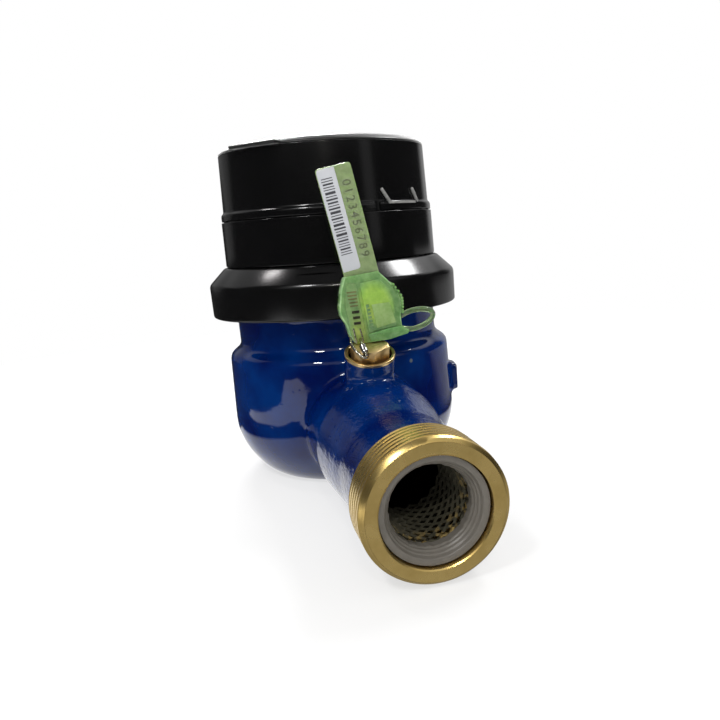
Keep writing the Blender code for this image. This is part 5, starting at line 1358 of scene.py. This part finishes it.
def make_label():
    """Printed white label with plain dark bars of three lengths."""
    bm = tag(LABEL_OUTLINE, 0.5, 0.68, 0.05)
    low = FIRST_BAR
    for count, width in enumerate(BAR_WIDTHS):
        high = low + BAR_STEP * width
        half = BAR_HALF - BAR_SHORTER * (count % 3)
        left = BAR_MIDDLE - half
        right = BAR_MIDDLE + half
        corners = ((left, low, 0), (right, low, 0), (right, high, 0), (left, high, 0))
        join_into(bm, tag(corners, 0.6, 0.71, 0.0, 1))
        low = high + BAR_GAP
    paper = mottled("label_paper", 0.3, (0.45, 0.465, 0.50), (0.56, 0.575, 0.60), (200.0, 2.0))
    ink = mottled("label_ink", 0.4, (0.022, 0.022, 0.026), (0.085, 0.085, 0.10), (900.0, 2.0))
    return finished("flag_label", bm, (paper, ink), 30.0)


dress(make_flag(), "seal_body", "meter")
dress(make_label(), "seal_body", "meter")


# Seal key: the turned lock of the seal. A short stem inside, and a clear green loop
# handle, moulded as a round rod, that stands out to the right.
KEY_PLACE = at(SEAL_X, 0.0140, 0.0644) @ about("X", -90.0)
KEY_STEM = ((0, -0.0088), (0.0018, -0.0088, 0.0003), (0.0018, -0.0022, 0.0002), (0, -0.0022))
KEY_ROD_R = 0.00095
KEY_LOOP = (
    (12.2, 65.6), (14.5, 66.6), (16.8, 67.2), (19.9, 67.4), (22.9, 66.9), (24.2, 65.6),
    (23.7, 63.9), (21.8, 62.3), (19.2, 61.3), (16.8, 60.8), (14.6, 61.0), (12.6, 61.4),
)


def swept(bm, route, radius, steps=16, twist=0.0, lobes=0.0):
    """Add a round rod along a route, or a stranded one with a twist."""
    loops = []
    side = (route[1] - route[0]).orthogonal()
    travelled = 0.0
    for index, point in enumerate(route):
        before = route[max(index - 1, 0)]
        along = (route[min(index + 1, len(route) - 1)] - before).normalized()
        side = (side - along * side.dot(along)).normalized()
        across = along.cross(side)
        travelled += (point - before).length
        loop = []
        for step in range(steps):
            turn = math.tau * step / steps
            reach = radius * (1.0 - lobes * (0.5 + 0.5 * math.cos(3.0 * turn + travelled * twist)))
            loop.append(point + reach * (math.cos(turn) * side + math.sin(turn) * across))
        loops.append(loop)
    skin(bm, loops)


key_shape = moved(turned(KEY_STEM, 36, 3), KEY_PLACE)
handle = bmesh.new()
swept(handle, smooth_route([(SEAL_X, across * MM, up * MM) for across, up in KEY_LOOP], 6), KEY_ROD_R)
join_into(key_shape, handle)
key_green = green_plastic("key_green", (0.55, 0.72, 0.42), (0.34, 0.50, 0.22), 0.8, 0.05)
dress(finished("key", key_shape, (key_green,), 30.0), "seal_key", "meter")


# Seal wire: thin stranded steel that runs from the seal, through the plug's cross hole
# and back up behind, both ends held in the seal; a small crimped ferrule pins it.
WIRE_R = 0.00050
SEALED_WIRE_R = 0.0003
WIRE_TWIST = 5200.0
WIRE_LOBES = 0.28
WIRE_KNOTS = (
    (0.0598, -0.0062, 0.0602), (0.0630, -0.0067, 0.0588), (0.0656, -0.0060, 0.0568),
    (0.0676, -0.0044, 0.0549), (0.0680, -0.0031, 0.0543), (0.0662, -0.0026, 0.0546),
    (0.0600, -0.0026, 0.0558), (0.0560, -0.0027, 0.0567), (0.0541, -0.0030, 0.0580),
    (0.0534, -0.0042, 0.0595), (0.0541, -0.0056, 0.0604), (0.0571, -0.0060, 0.0606),
)
CRIMPED_KNOTS = (
    (0.0602, -0.0030, 0.0596), (0.0640, -0.0034, 0.0592), (0.0664, -0.0036, 0.0582),
    (0.0680, -0.0031, 0.0562), (0.0680, -0.0027, 0.0549), (0.0660, -0.0026, 0.0547),
)
SEALED_RUNS = (
    ((0.06018, -0.0050, 0.0633), (0.06022, -0.0046, 0.0608), (0.06018, -0.0042, 0.0584)),
    ((0.06018, -0.0027, 0.0631), (0.06022, -0.0022, 0.0607), (0.06018, -0.0019, 0.0584)),
)
FERRULE_OUTLINE = ((0.0006, -0.0014), (0.00115, -0.0014, 0.0002), (0.00115, 0.0014, 0.0002), (0.0006, 0.0014))
FERRULE_ENDS = CRIMPED_KNOTS[2:4]
PINCH = 0.3
PINCH_REACH = 0.0006

wire = bmesh.new()
for knots in (WIRE_KNOTS, CRIMPED_KNOTS, *SEALED_RUNS):
    radius = SEALED_WIRE_R if knots in SEALED_RUNS else WIRE_R
    swept(wire, smooth_route(knots, 10), radius, 15, WIRE_TWIST, WIRE_LOBES)
wire_steel = steel("wire_steel", 0.25, (0.70, 0.66, 0.55))
dress(finished("stranded_wire", wire, (wire_steel,), 60.0), "seal_wire", "meter")


def make_ferrule():
    """Short tube, pinched flat in the middle."""
    points = rounded(FERRULE_OUTLINE, 3)
    outline = []
    for point, after in zip(points, points[1:] + points[:1]):
        outline += [point, point.lerp(after, 0.33), point.lerp(after, 0.67)]
    bm = turned(outline, 32)
    for vert in bm.verts:
        vert.co.x *= 1.0 - PINCH * math.exp(-((vert.co.z / PINCH_REACH) ** 2))
    start, end = (Vector(knot) for knot in FERRULE_ENDS)
    along = (end - start).to_track_quat("Z", "X").to_matrix().to_4x4()
    bm.transform(Matrix.Translation((start + end) / 2) @ along)
    return finished("ferrule", bm, (steel("crimp_steel", 0.22, (0.78, 0.77, 0.76)),), 30.0)


dress(make_ferrule(), "wire_ferrule", "meter")
